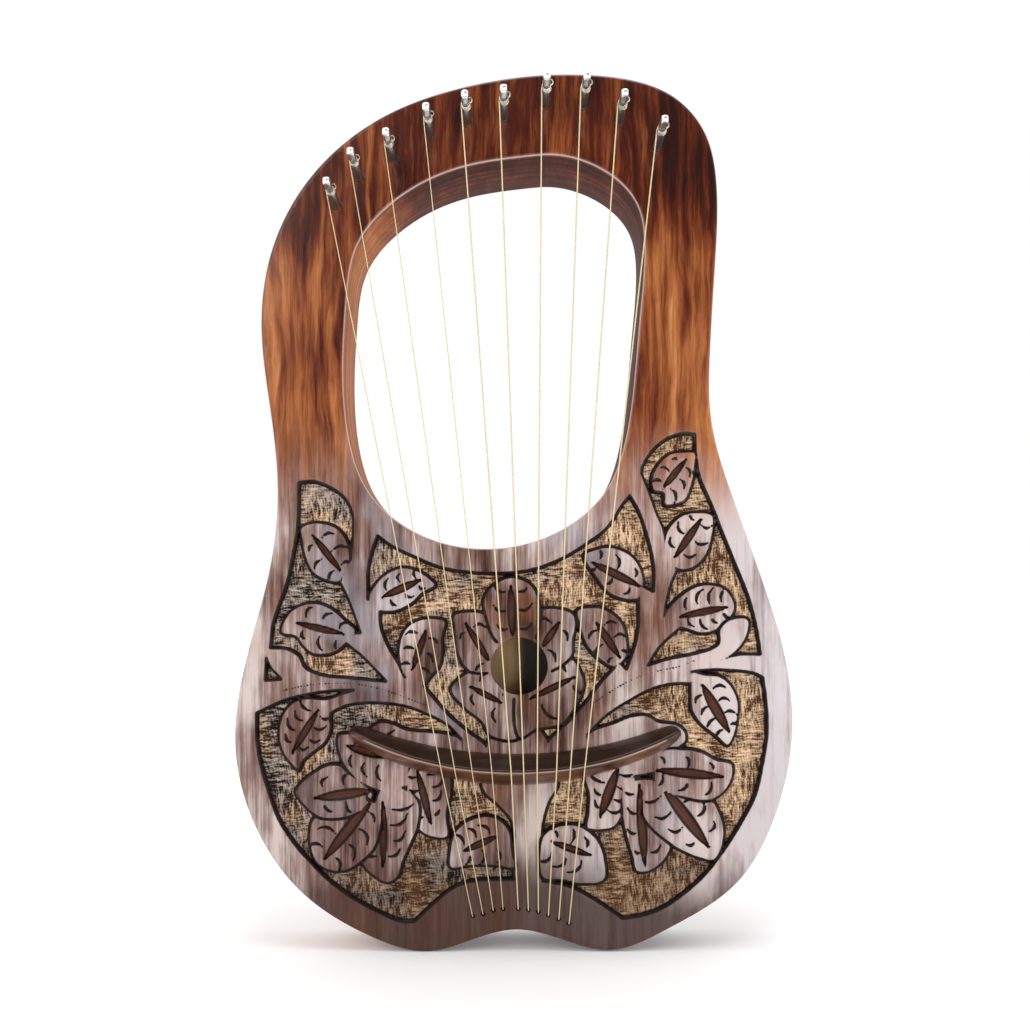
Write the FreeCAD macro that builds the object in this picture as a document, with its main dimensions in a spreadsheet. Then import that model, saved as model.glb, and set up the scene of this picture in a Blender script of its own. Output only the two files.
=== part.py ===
"""Ten-string carved lyre harp, built as a parametric document.

Row frame: +Z up along the strings, -Y out of the carved front, +X to the long-string side.
The origin is midway between the two bottom lobes, on the plane they rest on, at the back face.
The body blank is one plank: yoke, arms, ribs and soundboard.  It is hollowed from the back,
braced inside and closed by a back board.  All sizes are millimetres.
"""
import FreeCAD, Part
import math
import os
import Sketcher
from FreeCAD import Placement, Rotation, Vector

DOC = FreeCAD.newDocument("lyre_harp")

# --------------------------------------------------------------------------- driving dimensions
SIZES = [
    ("body_height", 406.0, "lobes to top of the yoke"),
    ("body_width", 258.0, "widest place, low on the body"),
    ("body_depth", 32.0, "front face to back face"),
    ("soundboard_thickness", 6.0, "plate left in front of the hollow"),
    ("rib_wall", 13.0, "wall round the hollow"),
    ("tail_block", 34.0, "solid wood under the hollow"),
    ("hollow_top", 196.0, "height where the hollow stops beside the opening"),
    ("back_thickness", 3.5, "back board"),
    ("back_ledge", 5.0, "width of the ledge that the back board seats on"),
    ("glue_gap", 0.1, "room round glued-in pieces"),
    ("soundhole_radius", 13.2, "round hole in the soundboard"),
    ("bar_width", 8.0, "soundboard bars"),
    ("bar_height", 11.0, "soundboard bars"),
    ("upper_bar_at", 158.0, "height of the upper bar"),
    ("lower_bar_at", 110.0, "height of the lower bar"),
    ("patch_length", 130.0, "hardwood patch under the bridge"),
    ("patch_height", 28.0, "hardwood patch under the bridge"),
    ("patch_thickness", 2.5, "hardwood patch under the bridge"),
    ("patch_at", 84.0, "height of the middle of the patch"),
    ("bridge_span", 152.0, "tip to tip"),
    ("bridge_sag", 18.0, "drop of the middle below the tips"),
    ("bridge_width", 13.0, "foot at the middle"),
    ("bridge_tip_width", 6.5, "foot at the tips"),
    ("bridge_rise", 13.0, "crest above the soundboard"),
    ("bridge_tip_rise", 7.5, "crest at the tips"),
    ("bridge_crest_radius", 1.6, "rounding of the crest"),
    ("bridge_toe", 1.5, "upright edge of the foot"),
    ("bridge_at", 84.5, "height of the middle of the crest"),
    ("bridge_flat", 80.0, "level part of the crest under the strings"),
    ("pin_radius", 2.0, "plain shank"),
    ("pin_neck_radius", 1.6, "waist that the wire winds on"),
    ("pin_neck_length", 4.2, "waist"),
    ("pin_proud", 24.0, "tip above the front face"),
    ("pin_depth", 21.0, "shank inside the yoke"),
    ("pin_square", 3.0, "across the flats of the head"),
    ("pin_clearance", 0.04, "radial, shank in bore"),
    ("pin_bore_extra", 1.0, "bore deeper than the shank"),
    ("wire_hole_radius", 0.5, "cross hole in the waist"),
    ("wire_wrap_degrees", 250.0, "first turn, where the string leaves the pin"),
    ("treble_gauge", 0.40, "wire diameter, four short strings"),
    ("bass_gauge", 0.60, "wire diameter, six long strings"),
    ("wire_gap", 0.12, "room between a string and the turning pin"),
    ("winding_turns", 3.0, "turns that stay on the pin"),
    ("string_hole_radius", 1.1, "holes through the tail"),
    ("hole_bend_radius", 0.8, "bend of the wire over the hole's mouth"),
    ("recess_depth", 6.0, "slot behind the tail holes"),
    ("recess_margin", 4.0, "slot past the outer holes"),
    ("ball_radius", 1.9, "end barrel"),
    ("ball_length", 3.0, "end barrel"),
]

SHEET = DOC.addObject("Spreadsheet::Sheet", "Sizes")
for row, (alias, value, note) in enumerate(SIZES, start=1):
    SHEET.set(f"A{row}", alias.replace("_", " "))
    SHEET.set(f"B{row}", str(value))
    SHEET.set(f"C{row}", note)
    SHEET.setAlias(f"B{row}", alias)
DOC.recompute()


def size(alias):
    """The value of one driving dimension."""
    return float(getattr(SHEET, alias))


# --------------------------------------------------------------------------- layout of the front
# Points (x, z) for the drawn body, 258 wide and 406 high; place() fits them to the sheet's sizes.
DRAWN_WIDTH = 258.0
DRAWN_HEIGHT = 406.0

OUTLINE = [
    (21, 406), (51, 404), (73, 396), (87.5, 380), (93.5, 354), (92.5, 315), (90.5, 280),
    (91, 246), (101, 210), (116.5, 166), (126, 132), (128.5, 102), (121, 64), (103, 32),
    (71, 10.5), (43, 0.5), (26, 4), (0, 10), (-22, 4.5), (-39.5, 0), (-66, 6.5), (-99.5, 28),
    (-122.5, 63), (-129.5, 93), (-126, 129), (-114.5, 173), (-110, 209), (-113, 248),
    (-117.5, 289), (-112.5, 325), (-95, 358), (-63.5, 385), (-28, 399),
]
OPENING = [
    (11.5, 368.5), (38, 363), (56.5, 345.5), (60, 326), (58, 295.5), (55, 262), (51, 236),
    (42.5, 214), (23, 196), (-9, 186.5), (-45, 193.5), (-68.5, 214), (-77.5, 241),
    (-79.5, 269), (-78, 301), (-73.5, 325.5), (-56, 347), (-27.5, 362),
]
SOUNDHOLE = (2.0, 132.0)
PINS = [
    (-82.5, 345), (-72, 358), (-56.5, 366.5), (-39, 377.5), (-22, 383),
    (-5, 385.5), (14, 391), (31.5, 391), (48, 383.5), (65.5, 372),
]
TAIL_HOLES = [
    (-19.5, 16.5), (-14.7, 17.5), (-10, 19.2), (-5.5, 19.8), (1.5, 20),
    (6.2, 19.4), (10.8, 18.6), (15.4, 17), (20.2, 15.2), (24.9, 13.2),
]
BRIDGE_CROSSINGS = [-33.4, -27.1, -19.2, -10.3, -1.7, 3.9, 9.9, 18.6, 24.8, 31.3]
TREBLE_STRINGS = 4
POINTS_PER_SPAN = 2
SPARE_SWEEP = 2.0      # degrees past each bridge tip, trimmed off by the plan
CROSS_HOLE_SHARE = 0.75  # place of the wire's hole along the waist
HEAD_TAPER = 1.6       # radius at the pin's foot of the cone that domes its head, in squares

WIDTH_RATIO = size("body_width") / DRAWN_WIDTH
HEIGHT_RATIO = size("body_height") / DRAWN_HEIGHT
FRONT = -size("body_depth")


def place(point):
    """A drawn (x, z) point fitted to the body's width and height."""
    return point[0] * WIDTH_RATIO, point[1] * HEIGHT_RATIO


def smooth_spans(vectors):
    """Smooth closed curve through points, as one curve per span."""
    whole = Part.BSplineCurve()
    whole.interpolate(Points=vectors, PeriodicFlag=True)
    knots = whole.getKnots()
    spans = []
    for first, last in zip(knots, knots[1:]):
        span = whole.copy()
        span.segment(first, last)
        spans.append(span)
    return spans


def closed_curve(points):
    """Smooth closed curve through drawn points, in sketch axes."""
    return smooth_spans([Vector(*place(point), 0) for point in points])


def parallel_curve(points, distance):
    """Curve a fixed distance outside (inside when negative) a drawn clockwise curve."""
    moved = []
    for span in closed_curve(points):
        first, last = span.FirstParameter, span.LastParameter
        for step in range(POINTS_PER_SPAN):
            at = first + (last - first) * step / POINTS_PER_SPAN
            along = span.tangent(at)[0]
            moved.append(span.value(at) + Vector(-along.y, along.x, 0) * distance)
    return smooth_spans(moved)


def bind(thing, **expressions):
    """Bind properties of a document object to cells of the sheet."""
    for name, expression in expressions.items():
        thing.setExpression(name.replace("__", "."), expression)


def origin_plane(body, role):
    """One of a body's own origin planes."""
    return next(item for item in body.Origin.OriginFeatures if item.Role == role)


def front_sketch(body, name, depth_expression=None):
    """Sketch facing -Y, at the back face or at a depth in front of it."""
    sketch = body.newObject("Sketcher::SketchObject", name)
    sketch.AttachmentSupport = [(origin_plane(body, "XZ_Plane"), "")]
    sketch.MapMode = "FlatFace"
    if depth_expression:
        sketch.setExpression("AttachmentOffset.Base.z", depth_expression)
    return sketch


def add_circles(sketch, centres, radius_expression):
    """Circles at drawn points whose radii follow one cell."""
    for point in centres:
        x, z = place(point)
        index = sketch.addGeometry(Part.Circle(Vector(x, z, 0), Vector(0, 0, 1), 1.0), False)
        row = sketch.addConstraint(Sketcher.Constraint("Radius", index, 1.0))
        sketch.addConstraint(Sketcher.Constraint("DistanceX", -1, 1, index, 3, x))
        sketch.addConstraint(Sketcher.Constraint("DistanceY", -1, 1, index, 3, z))
        sketch.setExpression(f"Constraints[{row}]", radius_expression)


def cut(body, sketch, name, length, from_back=False):
    """Pocket a sketch and check that it removed wood."""
    before = body.Shape.Volume
    pocket = body.newObject("PartDesign::Pocket", name)
    pocket.Profile = sketch
    pocket.Reversed = from_back
    bind(pocket, Length=length)
    DOC.recompute()
    if body.Shape.Volume >= before:
        raise RuntimeError(f"{name} removed nothing")
    return pocket


# --------------------------------------------------------------------------- body blank
def flat_face(spans):
    """Face in the XZ plane at the back from a closed curve drawn in sketch axes."""
    face = Part.Face(Part.Wire([span.toShape() for span in spans]))
    face.rotate(Vector(0, 0, 0), Vector(1, 0, 0), 90)
    return face


def offset_face(points, distance):
    """Face inside the curve a fixed distance outside a drawn one."""
    return flat_face(parallel_curve(points, distance))


def slab(low_z, high_z):
    """Wide face between two heights, in the back plane."""
    half = size("body_width")
    corners = [(-half, low_z), (half, low_z), (half, high_z), (-half, high_z), (-half, low_z)]
    return Part.Face(Part.makePolygon([Vector(x, 0, z) for x, z in corners]))


def hollow_face(grow=0.0):
    """Plan of the hollow, grown outwards by a distance for the back board's seat."""
    wall = size("rib_wall") - grow
    inside = offset_face(OUTLINE, -wall)
    band = slab(size("tail_block") - grow, size("hollow_top") + grow)
    face = inside.common(band).cut(offset_face(OPENING, wall))
    if len(face.Faces) != 1:
        raise RuntimeError("the hollow's plan is not one face")
    return face.Faces[0]


def prism(face, start, length):
    """Solid from a back-plane face, starting at y = start and reaching length towards the front."""
    moved = face.translated(Vector(0, start, 0))
    return moved.extrude(Vector(0, -length, 0))


def feature(name, shape):
    """Part::Feature with its Shape set from code."""
    item = DOC.addObject("Part::Feature", name)
    item.Shape = shape
    item.Label = name
    item.Placement = Placement()
    return item


def build_blank():
    """Plank with its outline, opening, bores, holes and slot; the hollow is cut afterwards."""
    body = DOC.addObject("PartDesign::Body", "blank")
    outline = front_sketch(body, "outline_sketch")
    outline.addGeometry(closed_curve(OUTLINE), False)
    pad = body.newObject("PartDesign::Pad", "plank")
    pad.Profile = outline
    bind(pad, Length="Sizes.body_depth")
    DOC.recompute()

    opening = front_sketch(body, "opening_sketch")
    opening.addGeometry(closed_curve(OPENING), False)
    cut(body, opening, "opening", "Sizes.body_depth", from_back=True)

    bores = front_sketch(body, "pin_bore_sketch", "Sizes.body_depth")
    add_circles(bores, PINS, "Sizes.pin_radius + Sizes.pin_clearance")
    cut(body, bores, "pin_bores", "Sizes.pin_depth + Sizes.pin_bore_extra")

    soundhole = front_sketch(body, "soundhole_sketch", "Sizes.body_depth")
    add_circles(soundhole, [SOUNDHOLE], "Sizes.soundhole_radius")
    cut(body, soundhole, "soundhole", "Sizes.soundboard_thickness + Sizes.glue_gap")

    tail = front_sketch(body, "string_hole_sketch", "Sizes.body_depth")
    add_circles(tail, TAIL_HOLES, "Sizes.string_hole_radius")
    cut(body, tail, "string_holes", "Sizes.body_depth")
    return body


def recess_face():
    """Rounded slot behind the tail holes, following their gentle arch."""
    reach = size("ball_radius") + size("recess_margin") / 2
    holes = [place(point) for point in TAIL_HOLES]
    rounds = [Part.makeCircle(reach, Vector(x, 0, z), Vector(0, -1, 0)) for x, z in holes]
    discs = [Part.Face(Part.Wire(edge)) for edge in rounds]
    face = discs[0]
    for disc in discs[1:]:
        face = face.fuse(disc)
    return face.removeSplitter()


HOLLOW = hollow_face()
SEAT = hollow_face(grow=size("back_ledge"))


def build_frame():
    """The one-piece frame: blank, less the hollow, the back board's seat and the ball-end slot."""
    blank = build_blank()
    depth = size("body_depth")
    hollow = feature("hollow_tool", prism(HOLLOW, 1.0, depth - size("soundboard_thickness") + 1.0))
    seat = feature("seat_tool", prism(SEAT, 1.0, size("back_thickness") + 1.0))
    slot = feature("slot_tool", prism(recess_face(), 1.0, size("recess_depth") + 1.0))
    tools = DOC.addObject("Part::MultiFuse", "hollowing")
    tools.Shapes = [hollow, seat, slot]
    frame = DOC.addObject("Part::Cut", "harp_frame")
    frame.Base = blank
    frame.Tool = tools
    frame.Label = "harp_frame"
    return frame


# --------------------------------------------------------------------------- inside the body
def build_back_board():
    """Board seated on the ledge, flush with the back."""
    gap = size("glue_gap")
    face = hollow_face(grow=size("back_ledge") - gap)
    return feature("back_board", prism(face, 0.0, size("back_thickness")))


def fitted_bar(name, height_alias):
    """Cross bar glued under the soundboard, its ends fitted to the ribs."""
    under = FRONT + size("soundboard_thickness")
    reach = size("body_width")
    middle = size(height_alias)
    width = size("bar_width")
    bar = Part.makeBox(2 * reach, size("bar_height"), width, Vector(-reach, under, middle - width / 2))
    inside = prism(hollow_face(grow=-size("glue_gap")), 0.0, size("body_depth"))
    return feature(name, bar.common(inside))


def build_patch():
    """Thin hardwood patch that spreads the bridge's load."""
    patch = DOC.addObject("Part::Box", "bridge_patch")
    bind(
        patch,
        Length="Sizes.patch_length",
        Width="Sizes.patch_thickness",
        Height="Sizes.patch_height",
        Placement__Base__x="-Sizes.patch_length / 2",
        Placement__Base__y="Sizes.soundboard_thickness - Sizes.body_depth",
        Placement__Base__z="Sizes.patch_at - Sizes.patch_height / 2",
    )
    patch.Label = "bridge_patch"
    return patch


# --------------------------------------------------------------------------- bridge
def bridge_radius():
    """Radius of the crest's curve, from its span and sag."""
    half = size("bridge_span") / 2
    sag = size("bridge_sag")
    return (half * half + sag * sag) / (2 * sag)


def crest_height(x):
    """Height of the crest line at x, on its arc."""
    radius = bridge_radius()
    return size("bridge_at") + radius - math.sqrt(radius * radius - x * x)


def bridge_ridge():
    """Ridge-shaped bar swept round the crest's centre."""
    radius = bridge_radius()
    centre = size("bridge_at") + radius
    half = size("bridge_width") / 2
    rise = size("bridge_rise")
    crest = size("bridge_crest_radius")
    toe = size("bridge_toe")
    crest_z = centre - radius
    foot_low = Vector(0, FRONT, crest_z - half)
    foot_high = Vector(0, FRONT, crest_z + half)
    side_low = Vector(0, FRONT - toe, crest_z - half)
    side_high = Vector(0, FRONT - toe, crest_z + half)
    top_low = Vector(0, FRONT - rise + crest / 2, crest_z - crest)
    top_high = Vector(0, FRONT - rise + crest / 2, crest_z + crest)
    top = Vector(0, FRONT - rise, crest_z)
    edges = [
        Part.makeLine(foot_high, foot_low),
        Part.makeLine(foot_low, side_low),
        Part.makeLine(side_low, top_low),
        Part.Arc(top_low, top, top_high).toShape(),
        Part.makeLine(top_high, side_high),
        Part.makeLine(side_high, foot_high),
    ]
    face = Part.Face(Part.Wire(edges))
    axis_point = Vector(0, 0, centre)
    sweep = 2 * math.degrees(math.asin(size("bridge_span") / 2 / radius)) + 2 * SPARE_SWEEP
    face.rotate(axis_point, Vector(0, 1, 0), -sweep / 2)
    return face.revolve(axis_point, Vector(0, 1, 0), sweep)


def bridge_plan():
    """Crescent plan that narrows to rounded tips."""
    half_span = size("bridge_span") / 2
    tip = size("bridge_tip_width") / 2
    middle = size("bridge_width") / 2
    low = size("bridge_at")
    tip_z = low + size("bridge_sag")
    inner = half_span - tip
    foot, brow = tip_z - tip, tip_z + tip
    edges = [
        Part.Arc(Vector(-inner, 0, foot), Vector(0, 0, low - middle), Vector(inner, 0, foot)),
        Part.Arc(Vector(inner, 0, foot), Vector(half_span, 0, tip_z), Vector(inner, 0, brow)),
        Part.Arc(Vector(inner, 0, brow), Vector(0, 0, low + middle), Vector(-inner, 0, brow)),
        Part.Arc(Vector(-inner, 0, brow), Vector(-half_span, 0, tip_z), Vector(-inner, 0, foot)),
    ]
    wire = Part.Wire([edge.toShape() for edge in edges])
    return prism(Part.Face(wire), FRONT, size("bridge_rise"))


def bridge_side_view():
    """Level crest under the strings that falls away in an arc to each tip."""
    flat = size("bridge_flat") / 2
    end = size("bridge_span") / 2 + 2
    rise = size("bridge_rise")
    drop = rise - size("bridge_tip_rise")
    run = end - flat
    radius = (run * run + drop * drop) / (2 * drop)
    turn = math.asin(run / radius) / 2
    mid = Vector(flat + radius * math.sin(turn), FRONT - rise + radius * (1 - math.cos(turn)), 0)
    tip = Vector(end, FRONT - rise + drop, 0)
    knee = Vector(flat, FRONT - rise, 0)

    def mirrored(point):
        return Vector(-point.x, point.y, point.z)

    foot = Vector(end, FRONT, 0)
    edges = [
        Part.makeLine(mirrored(knee), knee),
        Part.Arc(knee, mid, tip).toShape(),
        Part.makeLine(tip, foot),
        Part.makeLine(foot, mirrored(foot)),
        Part.makeLine(mirrored(foot), mirrored(tip)),
        Part.Arc(mirrored(tip), mirrored(mid), mirrored(knee)).toShape(),
    ]
    face = Part.Face(Part.Wire(edges))
    return face.extrude(Vector(0, 0, size("body_height")))


def build_bridge():
    """Crescent bridge: ridge bar, trimmed to its plan and its side view."""
    shape = bridge_ridge().common(bridge_plan()).common(bridge_side_view())
    return feature("bridge", shape.removeSplitter())


# --------------------------------------------------------------------------- strings
def gauge(index):
    """Wire diameter of a string, counted from the shortest."""
    return size("treble_gauge") if index < TREBLE_STRINGS else size("bass_gauge")


def string_level(index):
    """Height of a string's centre line above the front face, between pin and bridge."""
    return size("bridge_rise") + size("wire_gap") / 4 + gauge(index) / 2


def wrap_radius(index):
    """Radius of the wire's centre line where it bears on the pin's waist."""
    return size("pin_neck_radius") + size("wire_gap") + gauge(index) / 2


def corner_arc(before, corner, after, radius):
    """Points where an arc of one radius leaves the first run, bulges and joins the second."""
    back = (before - corner).normalize()
    ahead = (after - corner).normalize()
    half_angle = back.getAngle(ahead) / 2
    reach = radius / math.tan(half_angle)
    bisector = (back + ahead).normalize()
    centre = corner + bisector * (radius / math.sin(half_angle))
    return corner + back * reach, centre - bisector * radius, corner + ahead * reach


def string_route(index):
    """Centre line of a string as arcs and straight runs, with its bend radii."""
    level = FRONT - string_level(index)
    pin_x, pin_z = place(PINS[index])
    hole_x, hole_z = place(TAIL_HOLES[index])
    cross_x = BRIDGE_CROSSINGS[index] * WIDTH_RATIO
    over = Vector(cross_x, level, crest_height(cross_x))
    pin = Vector(pin_x, level, pin_z)
    wrap = wrap_radius(index)
    towards = over - pin
    bearing = math.atan2(towards.z, towards.x)
    lean = math.acos(wrap / towards.Length)
    leave_angle = bearing - lean

    def on_pin(angle):
        return pin + Vector(wrap * math.cos(angle), 0, wrap * math.sin(angle))

    leave = on_pin(leave_angle)
    turn = math.radians(size("wire_wrap_degrees"))
    start = on_pin(leave_angle - turn)
    middle = on_pin(leave_angle - turn / 2)
    bend = size("hole_bend_radius")
    mouth = Vector(hole_x, FRONT - bend, hole_z)
    seat = Vector(hole_x, -size("recess_depth"), hole_z)
    crest_bend = size("bridge_crest_radius") + gauge(index) / 2
    first = corner_arc(leave, over, mouth, crest_bend)
    second = corner_arc(over, mouth, seat, bend)
    edges = [
        Part.Arc(start, middle, leave).toShape(),
        Part.LineSegment(leave, first[0]).toShape(),
        Part.Arc(*first).toShape(),
        Part.LineSegment(first[2], second[0]).toShape(),
        Part.Arc(*second).toShape(),
        Part.LineSegment(second[2], seat).toShape(),
    ]
    return Part.Wire(edges), start, (wrap, crest_bend, bend)


def build_string(index):
    """One wire from its first turn on the pin, over the bridge and through the tail."""
    wire, start, radii = string_route(index)
    tangent = wire.Edges[0].tangentAt(wire.Edges[0].FirstParameter)
    section = Part.Wire(Part.makeCircle(gauge(index) / 2, start, tangent))
    tube = wire.makePipeShell([section], True, True)
    expected = math.pi * (gauge(index) / 2) ** 2 * wire.Length
    shown = ", ".join(f"{radius:.2f}" for radius in radii)
    ratio = tube.Volume / expected
    print(f"string {index + 1}: {wire.Length:.1f} mm, radii {shown}, volume ratio {ratio:.4f}")
    return feature(f"string_{index + 1:02d}", tube)


# --------------------------------------------------------------------------- pins and windings
def build_pin(index):
    """Tuning pin: plain shank, waist with a cross hole, square head with a domed end."""
    x, z = place(PINS[index])
    depth = size("pin_depth")
    level = string_level(index)
    waist_from = level - gauge(index) / 2 - size("wire_gap")
    name = f"tuning_pin_{index + 1:02d}"
    shank = DOC.addObject("Part::Cylinder", f"{name}_shank")
    bind(shank, Radius="Sizes.pin_radius")
    shank.Height = depth + waist_from
    waist = DOC.addObject("Part::Cylinder", f"{name}_waist")
    bind(waist, Radius="Sizes.pin_neck_radius", Height="Sizes.pin_neck_length")
    waist.Placement.Base = Vector(0, 0, depth + waist_from)
    head = DOC.addObject("Part::Box", f"{name}_head")
    bind(head, Length="Sizes.pin_square", Width="Sizes.pin_square")
    head.setExpression("Placement.Base.x", "-Sizes.pin_square / 2")
    head.setExpression("Placement.Base.y", "-Sizes.pin_square / 2")
    head_from = depth + waist_from + size("pin_neck_length")
    head.setExpression("Placement.Base.z", f"{head_from}")
    head.setExpression("Height", f"Sizes.pin_depth + Sizes.pin_proud - {head_from}")
    dome = DOC.addObject("Part::Cone", f"{name}_dome")
    bind(dome, Radius2="Sizes.pin_square / 3", Radius1=f"Sizes.pin_square * {HEAD_TAPER}")
    dome.setExpression("Height", "Sizes.pin_depth + Sizes.pin_proud")
    solid = DOC.addObject("Part::MultiFuse", f"{name}_solid")
    trimmed = DOC.addObject("Part::Common", f"{name}_trimmed_head")
    trimmed.Base = head
    trimmed.Tool = dome
    solid.Shapes = [shank, waist, trimmed]
    hole = DOC.addObject("Part::Cylinder", f"{name}_cross_hole")
    bind(hole, Radius="Sizes.wire_hole_radius")
    hole.Height = 4 * size("pin_radius")
    hole_at = depth + waist_from + size("pin_neck_length") * CROSS_HOLE_SHARE
    across = Vector(-2 * size("pin_radius"), 0, hole_at)
    hole.Placement = Placement(across, Rotation(Vector(0, 1, 0), 90))
    pin = DOC.addObject("Part::Cut", name)
    pin.Base = solid
    pin.Tool = hole
    pin.Label = name
    pin.Placement = Placement(Vector(x, FRONT + depth, z), Rotation(Vector(1, 0, 0), 90))
    return pin


def build_winding(index):
    """Turns of wire on the waist, just outside the turn that the string leaves."""
    x, z = place(PINS[index])
    level = string_level(index)
    wire = gauge(index)
    start = level + wire / 2 + size("wire_gap")
    length = size("winding_turns") * wire
    neck = size("pin_neck_radius")
    outer = Part.makeCylinder(neck + wire, length)
    sleeve = outer.cut(Part.makeCylinder(neck, length))
    winding = feature(f"string_winding_{index + 1:02d}", sleeve)
    winding.Placement = Placement(Vector(x, FRONT - start, z), Rotation(Vector(1, 0, 0), 90))
    return winding


def build_ball_ends():
    """Ten end barrels on the floor of the slot behind the tail."""
    barrels = []
    for point in TAIL_HOLES:
        x, z = place(point)
        floor = Vector(x, -size("recess_depth"), z)
        barrels.append(Part.makeCylinder(size("ball_radius"), size("ball_length"), floor, Vector(0, 1, 0)))
    return feature("string_ball_ends", Part.makeCompound(barrels))


# --------------------------------------------------------------------------- assembly and output
def build_all():
    """Every sub-part, in the order it goes together on the bench."""
    nodes = [build_frame(), fitted_bar("soundboard_bar_upper", "upper_bar_at")]
    nodes.append(fitted_bar("soundboard_bar_lower", "lower_bar_at"))
    nodes.append(build_patch())
    nodes.append(build_back_board())
    nodes.append(build_bridge())
    for index in range(len(PINS)):
        nodes.append(build_pin(index))
        nodes.append(build_winding(index))
        nodes.append(build_string(index))
    nodes.append(build_ball_ends())
    return nodes


def check(nodes):
    """Stop if any object failed or any sub-part is empty or invalid."""
    DOC.recompute()
    for item in DOC.Objects:
        bad = {"Invalid", "Error"} & set(item.State)
        if bad:
            raise RuntimeError(f"{item.Name}: {bad}")
    for node in nodes:
        shape = node.Shape
        if shape.isNull() or not shape.isValid() or shape.Volume <= 0:
            raise RuntimeError(f"{node.Label}: bad shape")


def write(nodes):
    """One STEP file for each sub-part."""
    os.makedirs("parts", exist_ok=True)
    for node in nodes:
        node.Shape.exportStep(f"parts/{node.Label}.step")
        box = node.Shape.BoundBox
        sides = f"{box.XLength:.1f} x {box.YLength:.1f} x {box.ZLength:.1f}"
        print(f"{node.Label}: {len(node.Shape.Solids)} solid(s), {sides}")


NODES = build_all()
check(NODES)
write(NODES)
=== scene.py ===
"""Looks of a small ten-string lyre harp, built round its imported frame.

The frame gives the sizes and places of all parts.  The front is carved here: five sunk panels with
raised leaves, petals and stems, cut veins and nicks, and a hatched ground.  The layout and the
carving code are in millimetres, with x to the right and z up; every Blender mesh is in metres.
"""
import logging
import math
from collections.abc import Iterable, Sequence
from dataclasses import dataclass, field

import bmesh
import bpy
import numpy as np
from mathutils import Matrix, Vector
from mathutils.geometry import tessellate_polygon


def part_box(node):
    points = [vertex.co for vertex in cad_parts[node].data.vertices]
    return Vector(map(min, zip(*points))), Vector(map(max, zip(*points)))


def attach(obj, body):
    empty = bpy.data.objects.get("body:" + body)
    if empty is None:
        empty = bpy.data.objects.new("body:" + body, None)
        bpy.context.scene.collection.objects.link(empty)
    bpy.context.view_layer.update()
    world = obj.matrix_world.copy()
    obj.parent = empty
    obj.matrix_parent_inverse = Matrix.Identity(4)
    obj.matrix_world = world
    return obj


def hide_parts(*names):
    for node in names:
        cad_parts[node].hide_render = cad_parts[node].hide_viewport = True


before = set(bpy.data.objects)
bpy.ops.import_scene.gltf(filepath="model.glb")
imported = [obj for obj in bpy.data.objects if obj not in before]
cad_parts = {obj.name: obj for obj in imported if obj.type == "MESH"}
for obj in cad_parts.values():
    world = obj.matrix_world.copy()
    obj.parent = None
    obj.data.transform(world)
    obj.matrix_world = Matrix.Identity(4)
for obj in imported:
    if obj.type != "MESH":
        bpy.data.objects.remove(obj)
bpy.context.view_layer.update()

LOG = logging.getLogger("lyre_harp")
MM = 0.001
MERGES_PER_METRE = 1e6
FAR = 99.0
TINY = 1e-9
BLOCK_SIZE = 1_500_000
MARGIN_STEP = 1.0
MERGE = 1e-7
FIELD_REACH = 7.0
ROOT = "instrument"
STRINGS = range(1, 11)
Point = tuple[float, float]
Colour = tuple[float, float, float]
Rates = tuple[float, float, float]


# --------------------------------------------------------------------------- layout of the carving
@dataclass(frozen=True)
class Leaf:
    """A raised leaf or petal: its margin, its cut vein and how many nicks flank the vein."""

    margin: Sequence[Point]
    vein: tuple[Point, Point] | None = None
    vein_half_width: float = 1.6
    nicks: int = 3


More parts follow.
